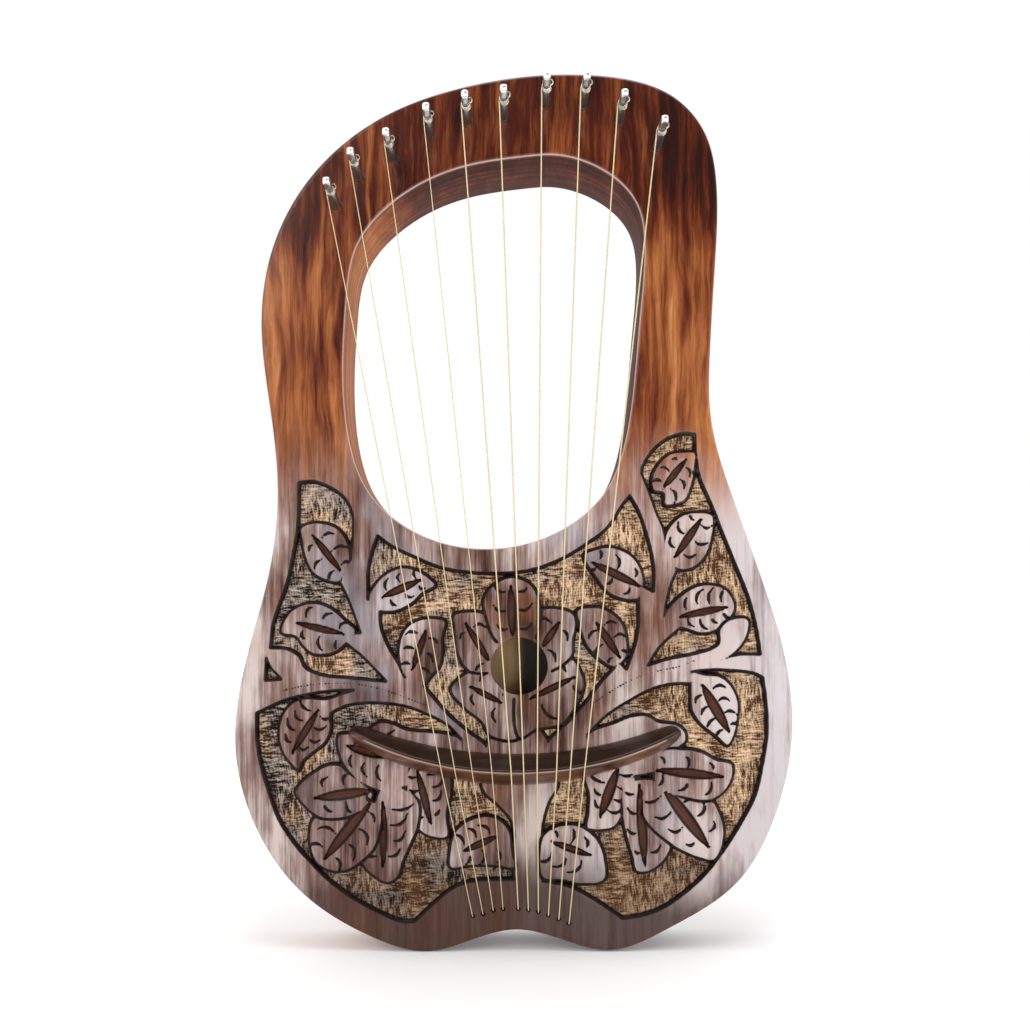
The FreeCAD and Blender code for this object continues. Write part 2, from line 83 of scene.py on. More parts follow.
# Each run of an outline starts where the run before it ends, and every joint is a corner.
PANELS: dict[str, list[list[Point]]] = {
    "arm_left": [
        [(-93, 217.5), (-86, 215), (-79, 210), (-75.5, 203.5), (-75, 195), (-76, 181.5)],
        [(-79.5, 176), (-81, 171)],
        [(-76.5, 161.5), (-71.5, 147.5)],
        [(-79.5, 146.5), (-78, 142.5)],
        [(-70, 136), (-59.5, 125)],
        [(-74, 126.5), (-89, 128), (-97, 131.5), (-99.5, 136.5), (-105, 140), (-113, 140.5)],
        [(-112, 151), (-109.5, 159), (-105, 172), (-102.5, 184), (-100.5, 196), (-100, 217)],
    ],
    "nook_left": [
        [(-113, 131.5), (-108, 126)],
        [(-115.5, 125.5)],
        [(-115, 136)],
    ],
    "centre": [
        [(-57.5, 188), (-45, 182), (-33.5, 177.5), (-21, 175.5), (-8, 175), (7, 176.5), (22, 182),
         (32, 188), (42.5, 196), (49.5, 206.5), (53, 211)],
        [(57, 204), (61, 192.5), (64, 178.5), (64, 166.5)],
        [(58, 169), (57, 163.5)],
        [(57, 157), (56.5, 146.5), (54, 137.5), (51.5, 130.5)],
        [(47, 134.5), (46, 131.5)],
        [(40, 125), (33.5, 116.5), (28, 110), (21.5, 103.5), (15, 97), (13.5, 90)],
        [(-13, 90)],
        [(-13, 95), (-21, 101.5), (-30, 109), (-41, 121.5)],
        [(-47.5, 131), (-51, 127)],
        [(-54, 133.5), (-58.5, 141), (-62, 150), (-62.5, 157)],
        [(-60.5, 162.5), (-68, 163)],
        [(-68, 175), (-66.5, 184), (-63.5, 192.5)],
    ],
    "arm_right": [
        [(59, 224.5), (62.5, 230.5), (69, 236.5), (76, 239.5), (83, 239.5)],
        [(83.5, 229.5), (85.5, 219), (90.5, 207.5), (96, 193.5), (102.5, 177.5), (108, 163.5),
         (111.5, 150), (113.5, 137.5)],
        [(103.5, 137.5), (93, 135)],
        [(94.5, 141)],
        [(81.5, 137.5), (71, 135.5), (61.5, 132.5)],
        [(66.5, 140.5), (76, 149.5)],
        [(76, 154.5), (69, 155)],
        [(70, 161.5), (72, 169.5), (75, 176.5)],
        [(73, 183.5), (70, 189)],
        [(68.5, 196), (65.5, 203), (63, 210), (60.5, 216.5), (58.5, 221.5)],
    ],
    "lower": [
        [(-86.5, 120.5), (-96, 119), (-106, 116.5), (-119.5, 110.5)],
        [(-119.5, 100.5), (-118, 89), (-114.5, 76), (-109, 61), (-101.5, 49.5), (-94, 41),
         (-86.5, 33.5), (-75, 25), (-61, 17.5), (-53.5, 14.5), (-46.5, 14)],
        [(-37.5, 22.5), (-28, 30), (-18.5, 33), (-9, 33.5), (2.5, 33.5), (12, 33), (26, 30),
         (35.5, 25), (44, 19.5), (49.5, 15.5)],
        [(59, 17), (68.5, 20.5), (78, 27), (87.5, 35.5), (95, 45), (103.5, 58), (111, 72.5),
         (114.5, 87.5), (116.5, 101.5), (116, 115.5), (114.5, 127)],
        [(110, 129), (101.5, 130), (92, 130.5), (81.5, 129.5)],
        [(83.5, 126), (81.5, 124)],
        [(74, 124), (64.5, 122), (53.5, 116.5), (42, 109), (33.5, 100.5)],
        [(33.5, 91), (-25, 91)],
        [(-25, 98.5)],
        [(-31.5, 105), (-41, 110), (-50.5, 113.5), (-61, 115), (-70.5, 115), (-79, 113.5),
         (-85, 110.5)],
        [(-87.5, 115.5), (-82.5, 118.5), (-74.5, 121)],
    ],
}

LEAVES: dict[str, Leaf] = {
    "stalk": Leaf(
        [(-15, 74.5), (-9, 68.5), (-2.5, 61.5), (-0.5, 55), (-0.5, 44.5), (0.5, 31), (12, 31),
         (12.5, 47), (13, 58.5), (16, 69.5), (20, 76.5), (19, 88.5), (10, 104), (-8.5, 102.5),
         (-16, 87.5)]),
    "arm_left_upper": Leaf(
        [(-99.5, 196), (-94.5, 198.5), (-88.5, 198.5), (-82, 196), (-77.5, 190), (-76, 181.5),
         (-78.5, 175), (-81, 171), (-85.5, 171), (-93.5, 175), (-97.5, 183), (-99, 191)],
        ((-93.5, 192.5), (-80.5, 176)), 1.6),
    "arm_left_lower": Leaf(
        [(-108.5, 147.5), (-105, 156.5), (-99, 160.5), (-92, 161.5), (-85, 159), (-78, 153),
         (-73.5, 148.5), (-78, 142.5), (-84, 138), (-93.5, 137.5), (-98.5, 141.5),
         (-101.5, 145.5)],
        ((-101, 152), (-79.5, 147)), 1.6),
    "inner_left": Leaf(
        [(-68, 163), (-64.5, 170.5), (-59, 175.5), (-52, 178), (-45, 176.5), (-39.5, 173),
         (-36.5, 169.5), (-43, 165.5), (-47, 161.5), (-52, 158.5), (-57.5, 157), (-62.5, 157.5)],
        ((-61.5, 164), (-43.5, 172)), 1.8),
    "low_inner_left": Leaf(
        [(-51.5, 127.5), (-54, 137), (-53, 145.5), (-49.5, 151), (-43.5, 154), (-36.5, 154.5),
         (-32, 153), (-33.5, 145.5), (-33.5, 139.5), (-34.5, 132.5), (-39, 127), (-43.5, 122)],
        ((-41, 149), (-47.5, 130.5)), 1.6),
    "petal_lower_left": Leaf(
        [(-21, 130), (-30, 121.5), (-24, 113), (-15.5, 106), (-11.5, 99.5), (2, 98.5), (3, 121),
         (-8.5, 133)],
        ((-20.5, 122.5), (-6, 115)), 1.4, 2),
    "petal_lower_right": Leaf(
        [(25.5, 136.5), (30.5, 130), (32, 122), (28, 113), (21.5, 105), (10, 102.5), (2, 98.5),
         (0.5, 121), (12.5, 133.5)],
        ((27.5, 127), (7, 117)), 1.5, 2),
    "petal_upper_left": Leaf(
        [(-28.5, 156), (-22, 157.5), (-14.5, 156.5), (-6, 144), (-7, 131), (-21, 129.5),
         (-26.5, 137.5), (-28, 148.5)],
        ((-23, 152), (-11, 133)), 1.6, 2),
    "petal_upper_right": Leaf(
        [(11.5, 158), (20.5, 159), (27, 156.5), (28.5, 152), (27, 144), (26, 136), (11.5, 129),
         (5, 144)],
        ((20.5, 152.5), (12, 140)), 1.6, 2),
    "petal_top": Leaf(
        [(-14, 156.5), (-14.5, 164), (-10.5, 169.5), (-2.5, 173.5), (5.5, 171.5), (9.5, 167.5),
         (11.5, 160.5), (12, 156.5), (8, 143), (-8, 143)],
        ((-2, 169), (-1, 145.5)), 2.0),
    "inner_right": Leaf(
        [(31.5, 183.5), (37.5, 186.5), (43.5, 187.5), (49.5, 186), (55, 182.5), (59, 175.5),
         (59.5, 168.5), (57, 163), (49.5, 163), (43, 166), (38, 172)],
        ((35.5, 180), (58, 169)), 1.9),
    "low_inner_right": Leaf(
        [(28.5, 158), (33, 159.5), (39, 159.5), (45.5, 156.5), (50, 151.5), (52, 144), (51.5, 136),
         (46, 131.5), (39, 135), (33, 141.5), (30, 150)],
        ((37.5, 152.5), (48.5, 136)), 1.8),
    "arm_right_top": Leaf(
        [(63, 219), (66, 225.5), (71.5, 230.5), (78, 231.5), (83.5, 231), (83.5, 224.5), (82, 216),
         (78.5, 208.5), (69, 206.5), (68.5, 212), (64, 213)],
        ((79, 227.5), (68.5, 214.5)), 1.6),
    "arm_right_middle": Leaf(
        [(70, 194.5), (77, 202), (85, 203.5), (91.5, 202), (91.5, 192.5), (88, 182.5), (81.5, 177),
         (74.5, 177), (69, 184.5)],
        ((86, 200), (74, 182.5)), 1.8),
    "arm_right_low": Leaf(
        [(68.5, 155), (78, 166), (87, 170), (97.5, 168), (102, 159), (95.5, 150), (87, 147),
         (76, 149.5), (70.5, 146)],
        ((98.5, 159.5), (76, 155)), 1.7, 4),
    "bud_right": Leaf(
        [(94, 142.5), (94.5, 149.5), (99.5, 154), (108, 154), (107.5, 146), (101, 137.5),
         (92, 133.5), (85.5, 137)]),
    "low_left": Leaf(
        [(-74.5, 120.5), (-87.5, 117), (-97, 117.5), (-103.5, 115), (-108, 109), (-109.5, 100.5),
         (-108, 93), (-104.5, 87.5), (-100, 83.5), (-98.5, 87.5), (-94, 91.5), (-87.5, 97),
         (-85, 103.5), (-85, 110.5), (-79, 113.5)],
        ((-91, 112), (-103, 92)), 1.7, 4),
    "bloom_left_top": Leaf(
        [(-82, 100), (-80.5, 88.5), (-73, 79), (-60, 74), (-45, 78), (-29, 81.5), (-24, 91),
         (-25, 98.5), (-31.5, 101), (-41, 102), (-50.5, 103), (-56, 105.5), (-62, 106.5),
         (-69.5, 102.5), (-76, 101.5)],
        ((-77.5, 95), (-60, 90)), 2.0),
    "bloom_left_inner": Leaf(
        [(-29.5, 79), (-29.5, 72.5), (-31.5, 64), (-31, 53), (-37.5, 52.5), (-44, 55.5), (-48, 61),
         (-50.5, 72.5), (-47, 87.5), (-30, 87.5)],
        ((-39, 59), (-45, 83.5)), 1.8, 4),
    "bloom_left_low": Leaf(
        [(-71, 41.5), (-66.5, 35.5), (-59, 31.5), (-54, 34.5), (-51.5, 42), (-47.5, 51),
         (-44.5, 59), (-45, 70.5), (-60, 78), (-67.5, 59)],
        ((-61, 39.5), (-61, 69)), 1.8, 4),
    "bloom_left_outer": Leaf(
        [(-88.5, 65.5), (-94, 61), (-95.5, 53.5), (-94.5, 46), (-92, 41), (-86.5, 37.5), (-79, 37),
         (-71, 41.5), (-64, 49.5), (-63, 68.5)],
        ((-88, 43), (-66, 70.5)), 2.6, 4),
    "bloom_left_side": Leaf(
        [(-77.5, 83.5), (-81, 86.5), (-86.5, 86.5), (-94, 82.5), (-99.5, 78), (-102, 73.5),
         (-99.5, 69.5), (-94, 64), (-89, 61.5), (-75, 63), (-65.5, 72.5)],
        ((-92.5, 71), (-66, 74.5)), 2.4, 3),
    "bottom_left": Leaf(
        [(-30, 38.5), (-30.5, 46), (-28, 55.5), (-21.5, 61), (-13, 63), (-6.5, 61), (-2.5, 56),
         (-1, 46), (0, 38.5), (-9, 39.5), (-20.5, 39.5)],
        ((-8, 53.5), (-24, 46.5)), 1.6),
    "low_right": Leaf(
        [(81.5, 129.5), (87.5, 128.5), (95, 127.5), (100, 123.5), (103.5, 115.5), (103, 106),
         (101.5, 99.5), (98.5, 95), (93, 99.5), (85.5, 105.5), (81.5, 112), (81, 119.5),
         (81, 124.5)],
        ((86.5, 123.5), (99, 101.5)), 2.4, 4),
    "bloom_right_top": Leaf(
        [(33.5, 100.5), (46, 106), (53.5, 109), (61, 109.5), (66.5, 106.5), (74, 105.5),
         (78.5, 102.5), (79.5, 97.5), (76, 94), (74, 87.5), (59, 81.5), (46, 81.5), (32.5, 83.5)]),
    "bloom_right_inner": Leaf(
        [(50, 63), (46, 57.5), (40, 56), (33, 57), (33.5, 63), (34, 72.5), (32, 80), (32.5, 87.5),
         (49.5, 87.5), (57, 76)],
        ((47.5, 85), (39.5, 62.5)), 2.4, 4),
    "bloom_right_low": Leaf(
        [(72.5, 49.5), (70.5, 44), (66.5, 39.5), (61, 36.5), (56, 37), (54, 44), (51, 54.5),
         (49.5, 63), (51.5, 78), (68.5, 78)],
        ((57.5, 77), (60, 40)), 2.2, 4),
    "bloom_right_outer": Leaf(
        [(90.5, 71), (95, 64), (97, 56), (95.5, 47), (92, 42), (85.5, 43), (78, 46), (72, 49.5),
         (59, 63), (63, 79)],
        ((68, 77), (89.5, 48.5)), 2.8, 4),
    "bloom_right_side": Leaf(
        [(68.5, 93), (78, 94), (86.5, 92.5), (93, 89), (100.5, 87), (101, 81.5), (98, 75),
         (91, 70), (81, 70.5), (64.5, 78)],
        ((65.5, 84), (96, 81)), 2.2, 3),
    "bottom_right": Leaf(
        [(12, 52), (15, 56), (20.5, 58.5), (28, 59), (33.5, 56.5), (38.5, 51.5), (41.5, 44),
         (41.5, 33), (31, 31), (21.5, 33), (12.5, 34)],
        ((35, 44.5), (16.5, 51)), 1.6),
}

BLOOM_HEARTS: list[Point] = [(-62.0, 76.0), (62.0, 80.0)]

DOTTED_LINES: list[list[Point]] = [
    [(-107, 121), (-94, 123.5), (-75.5, 124), (-62, 121.5), (-41, 114)],
    [(35.5, 114.5), (46, 121.5), (54.5, 126), (64.5, 129.5), (76, 132), (82.5, 134.5)],
]


# ------------------------------------------------------------------------ lines in the front plane
def smooth_run(points: Sequence[Point], step: float, closed: bool = False) -> np.ndarray:
    """Smooth line through points, by centripetal Catmull-Rom spans.

    Args:
        points: places it passes through, in order.
        step: length of the short chords it is made of.
        closed: whether it runs back to its first point.

    Returns:
        An (n, 2) array; a closed line doesn't repeat its first point.
    """
    knots = np.asarray(points, float)
    if closed:
        knots = np.vstack([knots[-1], knots, knots[:2]])
    else:
        knots = np.vstack([2 * knots[0] - knots[1], knots, 2 * knots[-1] - knots[-2]])
    line = []
    for a, b, c, d in zip(knots, knots[1:], knots[2:], knots[3:]):
        gaps = [math.sqrt(max(np.linalg.norm(q - p), 1e-6)) for p, q in ((a, b), (b, c), (c, d))]
        t1, t2 = gaps[0], gaps[0] + gaps[1]
        t3 = t2 + gaps[2]
        count = max(1, round(float(np.linalg.norm(c - b)) / step))
        for t in t1 + (t2 - t1) * np.arange(count) / count:
            ab = a + (b - a) * t / t1
            bc = b + (c - b) * (t - t1) / (t2 - t1)
            cd = c + (d - c) * (t - t2) / (t3 - t2)
            abc = ab + (bc - ab) * t / t2
            bcd = bc + (cd - bc) * (t - t1) / (t3 - t1)
            line.append(abc + (bcd - abc) * (t - t1) / (t2 - t1))
    if not closed:
        line.append(knots[-2])
    return np.array(line)


def smooth_ring(points: np.ndarray, step: float) -> np.ndarray:
    """Closed line of even curvature through many points, spaced evenly.

    Args:
        points: (n, 2) places on the true curve.
        step: length of the chords of the result.

    Returns:
        An (m, 2) array that doesn't repeat its first point.
    """
    chords = np.linalg.norm(np.roll(points, -1, 0) - points, axis=1)
    count = len(points)
    matrix = np.zeros((count, count))
    target = np.zeros((count, 2))
    for i in range(count):
        before, after = chords[i - 1], chords[i]
        matrix[i, i - 1] += after
        matrix[i, i] += 2 * (before + after)
        matrix[i, (i + 1) % count] += before
        rise = (points[(i + 1) % count] - points[i]) / after
        run_in = (points[i] - points[i - 1]) / before
        target[i] = 3 * (after * run_in + before * rise)
    tangents = np.linalg.solve(matrix, target)
    line = []
    for i in range(count):
        nxt = (i + 1) % count
        pieces = max(1, round(chords[i] / step))
        for t in np.arange(pieces) / pieces:
            h00 = 2 * t**3 - 3 * t**2 + 1
            h10 = t**3 - 2 * t**2 + t
            h01 = 3 * t**2 - 2 * t**3
            h11 = t**3 - t**2
            here = h00 * points[i] + h01 * points[nxt]
            line.append(here + chords[i] * (h10 * tangents[i] + h11 * tangents[nxt]))
    return np.array(line)


def nearest(line: np.ndarray, places: np.ndarray, closed: bool) -> tuple[np.ndarray, np.ndarray]:
    """Vectors from a line's nearest points to places, and how far along the line those points are.

    Args:
        line: (m, 2) points of the line.
        places: (n, 2) places to measure from.
        closed: whether the line runs back to its first point.

    Returns:
        (n, 2) vectors and (n,) shares of the line from 0 to 1.
    """
    starts = line if closed else line[:-1]
    ends = np.roll(line, -1, 0) if closed else line[1:]
    runs = ends - starts
    squares = np.maximum((runs**2).sum(1), 1e-12)
    away = np.zeros_like(places)
    share = np.zeros(len(places))
    block = max(1, BLOCK_SIZE // len(starts))
    for first in range(0, len(places), block):
        part = places[first:first + block]
        dx = part[:, None, 0] - starts[None, :, 0]
        dz = part[:, None, 1] - starts[None, :, 1]
        t = np.clip((dx * runs[:, 0] + dz * runs[:, 1]) / squares, 0, 1)
        dx -= t * runs[:, 0]
        dz -= t * runs[:, 1]
        best = (dx * dx + dz * dz).argmin(1)
        rows = np.arange(len(part))
        away[first:first + block] = np.stack([dx[rows, best], dz[rows, best]], 1)
        share[first:first + block] = (best + t[rows, best]) / len(starts)
    return away, share


def inside(line: np.ndarray, places: np.ndarray) -> np.ndarray:
    """Whether each place lies inside a closed line, by counting crossings."""
    result = np.zeros(len(places), bool)
    x, z = places[:, 0], places[:, 1]
    for (x1, z1), (x2, z2) in zip(line, np.roll(line, -1, 0)):
        if z1 == z2:
            continue
        crosses = (z1 > z) != (z2 > z)
        result ^= crosses & (x < (x2 - x1) * (z - z1) / (z2 - z1) + x1)
    return result


@dataclass
class Field:
    """Signed distance to a line at every grid place, and the direction in which it grows."""

    value: np.ndarray
    slope: np.ndarray

    @classmethod
    def of_nothing(cls, places: np.ndarray) -> "Field":
        """Far from every place."""
        return cls(np.full(len(places), FAR), np.zeros_like(places))

    @classmethod
    def of_ring(cls, line: np.ndarray, places: np.ndarray, reach: float = FAR) -> "Field":
        """Distance to a closed line, negative inside, measured within a reach of its box."""
        field = cls.of_nothing(places)
        low, high = line.min(0) - reach, line.max(0) + reach
        near = ((places >= low) & (places <= high)).all(1)
        away, _ = nearest(line, places[near], closed=True)
        distance = np.hypot(away[:, 0], away[:, 1])
        sign = np.where(inside(line, places[near]), -1.0, 1.0)
        field.value[near] = sign * distance
        field.slope[near] = away * (sign / np.maximum(distance, TINY))[:, None]
        return field

    @classmethod
    def of_disc(cls, centre: np.ndarray, radius: float, places: np.ndarray) -> "Field":
        """Distance to a circle, negative inside."""
        away = places - centre
        distance = np.hypot(away[:, 0], away[:, 1])
        return cls(distance - radius, away / np.maximum(distance, TINY)[:, None])

    def shifted(self, by: float) -> "Field":
        """The same field with its zero line moved inwards by a distance."""
        return Field(self.value + by, self.slope)

    def flipped(self) -> "Field":
        """The field of what is outside."""
        return Field(-self.value, -self.slope)

    def either(self, other: "Field") -> "Field":
        """The field of two regions joined."""
        mine = self.value <= other.value
        slope = np.where(mine[:, None], self.slope, other.slope)
        return Field(np.where(mine, self.value, other.value), slope)

    def both(self, other: "Field") -> "Field":
        """The field of what two regions share."""
        return self.flipped().either(other.flipped()).flipped()

    def after(self, moves: np.ndarray) -> np.ndarray:
        """Its values once every place has moved a little."""
        return self.value + (self.slope * moves).sum(1)


def fade(value: np.ndarray, low: float, high: float) -> np.ndarray:
    """Smooth step from 0 at low to 1 at high."""
    t = np.clip((value - low) / (high - low), 0, 1)
    return t * t * (3 - 2 * t)


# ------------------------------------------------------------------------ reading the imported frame
def node_triangles(node: str) -> tuple[np.ndarray, np.ndarray]:
    """A CAD node's points in millimetres, merged to a micrometre, and its triangles.

    Args:
        node: name of the node.

    Returns:
        (n, 3) points and (m, 3) indices into them.
    """
    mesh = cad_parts[node].data
    points = np.zeros(len(mesh.vertices) * 3, np.float32)
    mesh.vertices.foreach_get("co", points)
    corners = np.zeros(len(mesh.loops), np.int32)
    mesh.loops.foreach_get("vertex_index", corners)
    keys = np.round(points.reshape(-1, 3).astype(float) * MERGES_PER_METRE).astype(np.int64)
    merged, back = np.unique(keys, axis=0, return_inverse=True)
    return merged * MM, back.ravel()[corners].reshape(-1, 3)


def edges_of(triangles: np.ndarray) -> np.ndarray:
    """All first edges of the triangles, then all second ones, then all third ones."""
    return np.vstack([triangles[:, [0, 1]], triangles[:, [1, 2]], triangles[:, [2, 0]]])


def chain_loops(triangles: np.ndarray) -> list[list[int]]:
    """Closed rims of a patch of triangles, as point numbers in the triangles' direction."""
    known = set(map(tuple, edges_of(triangles).tolist()))
    following: dict[int, int] = {}
    for a, b in known:
        if (b, a) not in known:
            following[a] = b
    loops = []
    while following:
        start, here = following.popitem()
        loop = [start]
        while here != start and here in following:
            loop.append(here)
            here = following.pop(here)
        loops.append(loop)
    return loops


@dataclass
class FramePlanes:
    """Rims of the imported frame's flat faces, read plane by plane."""

    node: str = "harp_frame"
    same_level: float = 0.02
    flatness: float = 0.01

    def __post_init__(self) -> None:
        """Reads the node's mesh."""
        self.points, self.triangles = node_triangles(self.node)

    def rims(self, y: float) -> list[np.ndarray]:
        """Rims of the faces at one depth, the longest first, as (n, 2) arrays of x and z."""
        level = (np.abs(self.points[self.triangles][:, :, 1] - y) < self.same_level).all(1)
        rims = [self.points[loop][:, [0, 2]] for loop in chain_loops(self.triangles[level])]
        rims.sort(key=lambda rim: -np.linalg.norm(np.roll(rim, -1, 0) - rim, axis=1).sum())
        return rims

    def levels(self) -> list[float]:
        """Depths of all flat faces, from the front to the back."""
        corners = self.points[self.triangles][:, :, 1]
        flat = np.ptp(corners, axis=1) < self.flatness
        return sorted(set(np.round(corners[flat].mean(1), 2).tolist()))


# ------------------------------------------------------------------------------------------ meshes
class Shell:
    """Points and triangles of one closed mesh while it is put together, in millimetres."""

    def __init__(self) -> None:
        """Starts empty."""
        self.points = np.zeros((0, 3))
        self.triangles: list[np.ndarray] = []

    def add(self, points: np.ndarray) -> list[int]:
        """Adds points and gives their numbers."""
        first = len(self.points)
        self.points = np.vstack([self.points, points])
        return list(range(first, len(self.points)))

    def ring_at(self, ring: np.ndarray, y: float | np.ndarray) -> list[int]:
        """Adds a ring of (x, z) places at a depth and gives the points' numbers."""
        depth = np.broadcast_to(y, len(ring))
        return self.add(np.stack([ring[:, 0], depth, ring[:, 1]], 1))

    def band(self, first: Sequence[int], second: Sequence[int]) -> None:
        """Joins two rings of the same number of points."""
        a, b = np.array(first), np.array(second)
        c, d = np.roll(b, -1), np.roll(a, -1)
        self.triangles.append(np.stack([a, b, c], 1))
        self.triangles.append(np.stack([a, c, d], 1))

    def plate(self, *rings: Sequence[int]) -> None:
        """Fills the flat region inside the first ring and outside the others."""
        numbers = [n for ring in rings for n in ring]
        places = self.points[:, [0, 2]]
        lines = [[Vector((*places[n], 0)) for n in ring] for ring in rings]
        corners = np.array(tessellate_polygon(lines))
        self.triangles.append(np.array(numbers)[corners])

    def mesh(self, name: str) -> bpy.types.Mesh:
        """The closed mesh, facing outwards, with its sharp edges marked.

        Args:
            name: name of the mesh.

        Returns:
            A mesh in metres.
        """
        mesh = bpy.data.meshes.new(name)
        mesh.from_pydata((self.points * MM).tolist(), [], np.vstack(self.triangles).tolist())
        face_outwards(mesh)
        return mesh


def mark(mesh: bpy.types.Mesh, name: str, values: np.ndarray) -> None:
    """Stores a number for every point of a mesh, for its finish to read."""
    mesh.attributes.new(name, "FLOAT", "POINT").data.foreach_set("value", values)


def evaluated(name: str, item: bpy.types.Object) -> bpy.types.Mesh:
    """A plain mesh of an object with its modifiers done; the object itself goes."""
    graph = bpy.context.evaluated_depsgraph_get()
    mesh = bpy.data.meshes.new_from_object(item.evaluated_get(graph), depsgraph=graph)
    mesh.name = name
    bpy.data.objects.remove(item)
    return mesh


def link(name: str, data: bpy.types.ID) -> bpy.types.Object:
    """A new object in the scene."""
    item = bpy.data.objects.new(name, data)
    bpy.context.scene.collection.objects.link(item)
    return item


def add_node(
    tree: bpy.types.NodeTree, kind: str, settings: dict | None = None, inputs: dict | None = None
) -> bpy.types.Node:
    """Any node of a tree, with its settings first and then its sockets.

    Args:
        tree: the tree that it joins.
        kind: the node's type.
        settings: its properties; "stops" is a list of (place, colour) for a ramp.
        inputs: a value, or an output to link, for each input by name or number.

    Returns:
        The new node.
    """
    node = tree.nodes.new(kind)
    for name, setting in (settings or {}).items():
        if name == "stops":
            ramp = node.color_ramp.elements
            while len(ramp) < len(setting):
                ramp.new(0.5)
            for element, (place, colour) in zip(ramp, setting):
                element.position = place
                element.color = (*colour, 1.0)
        else:
            setattr(node, name, setting)
    for key, value in (inputs or {}).items():
        socket = node.inputs[key]
        if isinstance(value, Value):
            value = value.socket
        if isinstance(value, bpy.types.NodeSocket):
            tree.links.new(value, socket)
        elif isinstance(value, tuple) and len(value) == 3 and socket.type == "RGBA":
            socket.default_value = (*value, 1.0)
        else:
            socket.default_value = value
    return node


def face_outwards(mesh: bpy.types.Mesh, merge: float = 0.0, sharp_degrees: float = 42.0) -> None:
    """Turns a closed mesh's faces outwards, smooths it and marks its sharp edges.

    Args:
        mesh: the mesh to mend.
        merge: distance under which points become one, in metres; 0 merges none.
        sharp_degrees: edges that turn more than this stay crisp.
    """
    work = bmesh.new()
    work.from_mesh(mesh)
    if merge:
        bmesh.ops.remove_doubles(work, verts=work.verts, dist=merge)
    bmesh.ops.recalc_face_normals(work, faces=work.faces)
    work.to_mesh(mesh)
    work.free()
    mesh.polygons.foreach_set("use_smooth", [True] * len(mesh.polygons))
    mesh.set_sharp_from_angle(angle=math.radians(sharp_degrees))


def hang_piece(
    name: str,
    mesh: bpy.types.Mesh,
    body: str,
    finish: bpy.types.Material,
    replaces: Iterable[str] = (),
) -> bpy.types.Object:
    """Puts a finished mesh into the scene as a piece that rides on a body.

    Args:
        name: name of the piece.
        mesh: its mesh, in the frame's own metres.
        body: the body that it moves with.
        finish: its material.
        replaces: CAD nodes that it stands for.

    Returns:
        The new object.
    """
    piece = link(name, mesh)
    mesh.materials.clear()
    mesh.materials.append(finish)
    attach(piece, body)
    if replaces:
        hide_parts(*replaces)
    LOG.info("%s: %d faces on %s", name, len(mesh.polygons), body)
    return piece


# -------------------------------------------------------------------------------- the carved frame
@dataclass
class Edge:
    """One rim of the front: its distance field, its rounding and how deep its wall goes."""

    field: Field
    arris: float
    floor: float
    through: bool = False
    # How strongly its front arris carries the painted highlight.
    rubbed: float = 0.0


@dataclass
class SnapGrid:
    """Grid places that move onto nearby lines, each at most once."""

    places: np.ndarray

    def __post_init__(self) -> None:
        """Starts with nothing moved."""
        self.moves = np.zeros_like(self.places)
        self.free = np.ones(len(self.places), bool)

    def snap(self, line: Field, reach: float, where: np.ndarray | bool = True) -> None:
        """Moves free places within a reach onto a field's zero line."""
        take = self.free & (np.abs(line.value) < reach) & where
        self.moves[take] = -line.slope[take] * line.value[take, None]
        self.free[take] = False

    def moved(self) -> np.ndarray:
        """The places after all moves."""
        return self.places + self.moves


